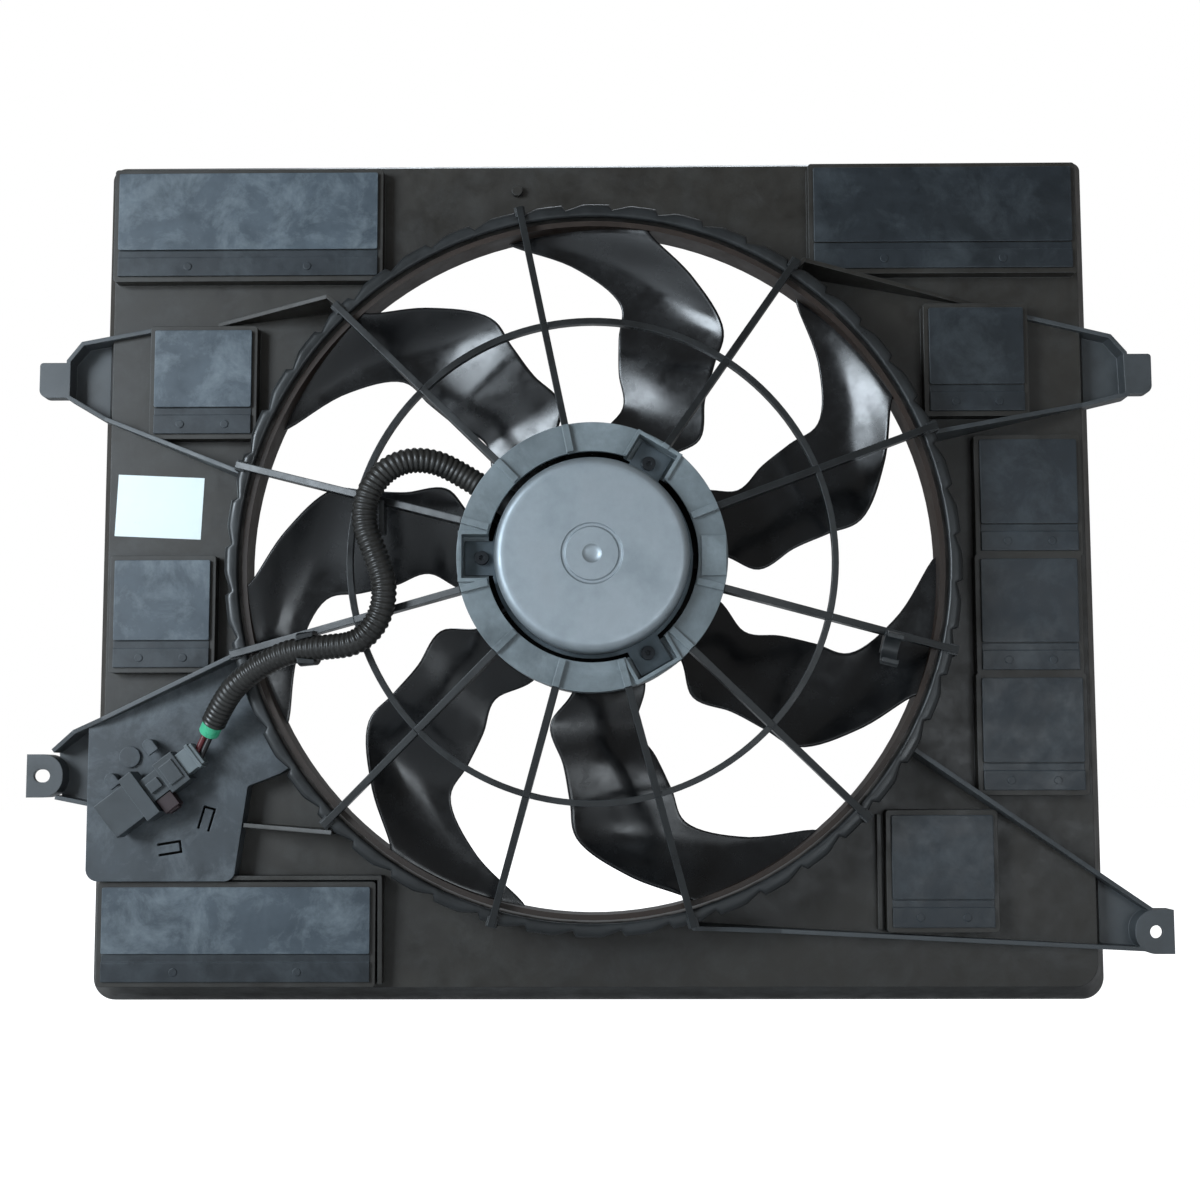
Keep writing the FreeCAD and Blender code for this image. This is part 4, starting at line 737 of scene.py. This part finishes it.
@dataclass
class Lead:
    """Corrugated conduit along its route, and the two wires into the plug.

    Attributes:
        pitch_mm: Distance between corrugations.
        depth_mm: Depth of a corrugation.
    """

    pitch_mm: float = 3.1
    depth_mm: float = 0.75

    def route(self) -> bpy.types.Object:
        """Curve that follows the route's points.

        Returns:
            The curve's object.
        """
        data = bpy.data.curves.new("conduit_route", "CURVE")
        data.dimensions = "3D"
        data.resolution_u = 24
        spline = data.splines.new("NURBS")
        spline.points.add(len(CONDUIT_ROUTE) - 1)
        for point, place in zip(spline.points, CONDUIT_ROUTE):
            point.co = (*(Vector(place) * MM), 1.0)
        spline.order_u = 3
        spline.use_endpoint_u = True
        guide = bpy.data.objects.new("conduit_route", data)
        bpy.context.scene.collection.objects.link(guide)
        return guide

    def conduit(self, material: bpy.types.Material) -> None:
        """Bend a straight corrugated tube along the route.

        Args:
            material: The conduit's plastic.
        """
        guide = self.route()
        length = guide.data.splines[0].calc_length()
        count = round(length / (self.pitch_mm * MM))
        shape = bmesh.new()
        verts = []
        for index in range(count * 6 + 1):
            wave = 0.5 - 0.5 * math.cos(TURN * index / 6)
            radius = CONDUIT_RADIUS - self.depth_mm * (wave ** 1.6)
            verts.append(shape.verts.new((length * index / (count * 6), radius * MM, 0)))
        edges = [shape.edges.new(pair) for pair in zip(verts, verts[1:])]
        bmesh.ops.spin(shape, geom=verts + edges, cent=ORIGIN, axis=(1, 0, 0), dvec=ORIGIN, angle=TURN,
                       steps=28, use_merge=True)
        mesh = bpy.data.meshes.new("conduit_straight")
        shape.to_mesh(mesh)
        shape.free()
        straight = bpy.data.objects.new("conduit_straight", mesh)
        bpy.context.scene.collection.objects.link(straight)
        bend = straight.modifiers.new("bend", "CURVE")
        bend.object = guide
        bend.deform_axis = "POS_X"
        bpy.context.view_layer.update()
        graph = bpy.context.evaluated_depsgraph_get()
        bent = bpy.data.meshes.new_from_object(straight.evaluated_get(graph))
        shape = bmesh.new()
        shape.from_mesh(bent)
        for leftover in (straight, guide):
            bpy.data.objects.remove(leftover)
        finish_piece("corrugated_conduit", shape, material, Body.SHROUD, ("conduit",), 60.0)

    def wires(self, materials: list[bpy.types.Material]) -> None:
        """Two insulated wires from the tape into the plug's cover.

        Args:
            materials: The two wires' insulation.
        """
        end = Vector(CONDUIT_ROUTE[-1])
        ahead = (end - Vector(CONDUIT_ROUTE[-2])).normalized()
        angle = math.radians(PLUG_ANGLE)
        across = Vector((-math.sin(angle), 0, math.cos(angle)))
        entry = Vector((PLUG_START[0], -WIRE_DEPTH, PLUG_START[1]))
        for name, side, material in zip(("wire_positive", "wire_negative"), (-1, 1), materials):
            offset = across * (side * WIRE_OFFSET)
            first = end + ahead * (TAPE_LENGTH - 2) + offset
            last = entry + offset
            last += (last - first).normalized() * 2
            line = last - first
            turn = line.to_track_quat("Z", "Y").to_matrix().to_4x4()
            shape = bmesh.new()
            place = Matrix.Translation((first + last) * 0.5 * MM) @ turn
            bmesh.ops.create_cone(shape, cap_ends=True, segments=24, radius1=WIRE_RADIUS * MM,
                                  radius2=WIRE_RADIUS * MM, depth=line.length * MM, matrix=place)
            finish_piece(name, shape, material, Body.SHROUD, ("lead_wires",))


# Which finish each carried-over node gets

PLASTIC = {
    "shroud": MouldedPlastic("shroud_polypropylene", "1b1815", "3c3932", haze=0.5, roughness=0.42,
                             edge="72787b", scuff=0.08),
    "lip": MouldedPlastic("barrel_polypropylene", "141515", "363b3e", haze=0.4, roughness=0.33,
                          edge="6f7579"),
    "spoke": MouldedPlastic("spoke_polypropylene", "111111", "2d3234", haze=0.5, roughness=0.34,
                            edge="6c7377"),
    # Painted light: the ear tabs are a lighter copy of the black shroud plastic, in place of the light that
    # falls on them.
    "ear": MouldedPlastic("ear_polypropylene_painted_lit", "2a2c2d", "5c6266", haze=0.6, roughness=0.4, edge="868d90"),
    "ring": MouldedPlastic("carrier_polypropylene", "3f4649", "8b979c", haze=0.75, roughness=0.42,
                           edge="a9b4b8", scuff=0.25),
    "fan": MouldedPlastic("fan_nylon", "0a0a0b", "202427", haze=0.3, roughness=0.2, grain_depth=0.04,
                          edge_mm=0),
    # Painted reflection: the band's brown tint, in both its colours, stands in for a warm brown reflection
    # on its inner face.
    "band": MouldedPlastic("band_nylon_painted_reflection", "1a120c", "38261a", haze=0.5, roughness=0.5, edge_mm=0),
    "rubber": MouldedPlastic("flap_rubber", "13181b", "29323a", haze=0.6, roughness=0.38, edge="7d888e",
                             scuff=0.12),
    # Painted light: the left flaps are a lighter copy of the flap rubber, in place of the light that falls
    # on them from the left; their patchy haze and pale rubbed marks are dust and scuffs.
    "left_flaps_dust_and_painted_light": MouldedPlastic("flap_rubber_dust_and_painted_light", "2b333a", "53606a", haze=0.7, roughness=0.38, edge="8b969c",
                            scuff=0.42),
    "conduit": MouldedPlastic("conduit_polypropylene", "151413", "3f3e3a", haze=0.4, roughness=0.36,
                              edge_mm=0),
    "plate": MouldedPlastic("plug_plate_polypropylene", "23272a", "4a535a", scuff=0.25, haze=0.6,
                            roughness=0.42, edge="8e979d"),
    "plug": MouldedPlastic("plug_polyamide", "212527", "464e53", haze=0.6, roughness=0.4, edge="a3abae"),
    "lock": MouldedPlastic("lock_polyamide", "1d0c0f", "3a2529", haze=0.4, roughness=0.4, edge="5c4448"),
    "cover": MouldedPlastic("cover_polyamide", "4f575a", "7f898c", haze=0.5, roughness=0.4, edge="a5adaf"),
    "tape": MouldedPlastic("tape_vinyl", "1f9a6c", "6fd8b0", haze=0.5, roughness=0.3, edge="b9f0da"),
    "red": MouldedPlastic("wire_vinyl_red", "4a0f12", "7a3036", haze=0.4, roughness=0.35, edge_mm=0),
    "black": MouldedPlastic("wire_vinyl_black", "0e0e0f", "2c2c2e", haze=0.4, roughness=0.35, edge_mm=0),
    "label": MouldedPlastic("label_polyester", "eaf5f5", "d8e6e8", haze=0.4, roughness=0.35,
                            grain_depth=0.02, edge_mm=0),
    "grommet": MouldedPlastic("grommet_rubber", "0f0f0f", "2e2e2e", haze=0.4, roughness=0.6),
    "board": MouldedPlastic("brush_board_phenolic", "3b2415", "5a3c28", haze=0.4, roughness=0.55),
    "carbon": MouldedPlastic("brush_carbon", "1a1a1b", "3a3a3a", haze=0.4, roughness=0.6),
    "ferrite": MouldedPlastic("magnet_ferrite", "2b2a2c", "4a494b", haze=0.4, roughness=0.5),
}
METAL = {
    "can": SatinMetal("can_zinc_steel", "a6afb5", "838c91", roughness=0.42, metallic=0.75),
    "flange": SatinMetal("flange_steel", "5d666c", "3f4649", roughness=0.45),
    "screw": SatinMetal("screw_steel_black_zinc", "3a3d40", "26282a", roughness=0.35),
    "shaft": SatinMetal("shaft_steel", "b4b6b8", "8f9294", roughness=0.22),
    "bronze": SatinMetal("bearing_bronze", "9c7440", "6e5230", roughness=0.4),
    "copper": SatinMetal("winding_copper", "b8693c", "7d4528", roughness=0.35),
    "laminate": SatinMetal("core_steel", "6b6d70", "4a4b4d", roughness=0.45),
    "tin": SatinMetal("terminal_tin", "c9cbcd", "9a9c9e", roughness=0.28),
}
FINISH_OF = {
    "shroud": ("shroud_panel", "barrel_gussets"),
    "lip": ("fan_barrel", "conduit_clip", "spare_clip", "conduit_hook"),
    "spoke": ("stator_spokes", "guard_ring"),
    # Ear tabs: a lighter copy of the shroud plastic, painted light.
    "ear": ("ear_upper_left", "ear_upper_right", "ear_lower_left", "ear_lower_right"),
    "ring": ("motor_ring",),
    "fan": ("fan_hub", "fan_blades"),
    # Fan band: its brown tint is a painted reflection.
    "band": ("fan_band",),
    "rubber": ("flap_strips", "flap_pegs"),
    # Left flaps: lighter copy of the rubber, painted light from the left, with dust and scuffs.
    "left_flaps_dust_and_painted_light": ("flap_top_left", "flap_upper_left", "flap_middle_left", "flap_bottom_left"),
    "conduit": ("conduit",),
    "plate": ("connector_plate", "connector_bracket"),
    "plug": ("connector_housing",),
    "cover": ("connector_rear_cover",),
    "lock": ("connector_lock",),
    "tape": ("wire_tape",),
    "red": ("lead_wires",),
    "label": ("rating_label",),
    "grommet": ("cable_grommet",),
    "board": ("brush_plate",),
    "carbon": ("brushes",),
    "ferrite": ("magnets",),
    "can": ("motor_yoke", "motor_end_plate"),
    "flange": ("motor_flange",),
    "screw": ("motor_screws",),
    "shaft": ("motor_shaft", "fan_nut"),
    "bronze": ("rear_bearing", "front_bearing"),
    "copper": ("armature_windings", "commutator"),
    "laminate": ("armature_core",),
    "tin": ("terminal_blades",),
}


def dress() -> dict[str, bpy.types.Material]:
    """Give every carried-over node its material.

    Returns:
        The materials by finish.
    """
    materials = {key: finish.make() for key, finish in (PLASTIC | METAL).items()}
    owner = {node: key for key, nodes in FINISH_OF.items() for node in nodes}
    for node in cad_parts:
        paint(node, materials[owner.get(node, "rubber")])
    return materials


def main() -> None:
    """Build and dress every piece."""
    logging.basicConfig(level=logging.INFO)
    Studio().build()
    materials = dress()
    Fan().build(materials["fan"])
    Barrel().build(materials["lip"])
    Motor().build(materials["can"])
    lead = Lead()
    lead.conduit(materials["conduit"])
    lead.wires([materials["red"], materials["black"]])
    LOG.info("pieces dressed: %d nodes", len(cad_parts))


if __name__ == "__main__":
    main()
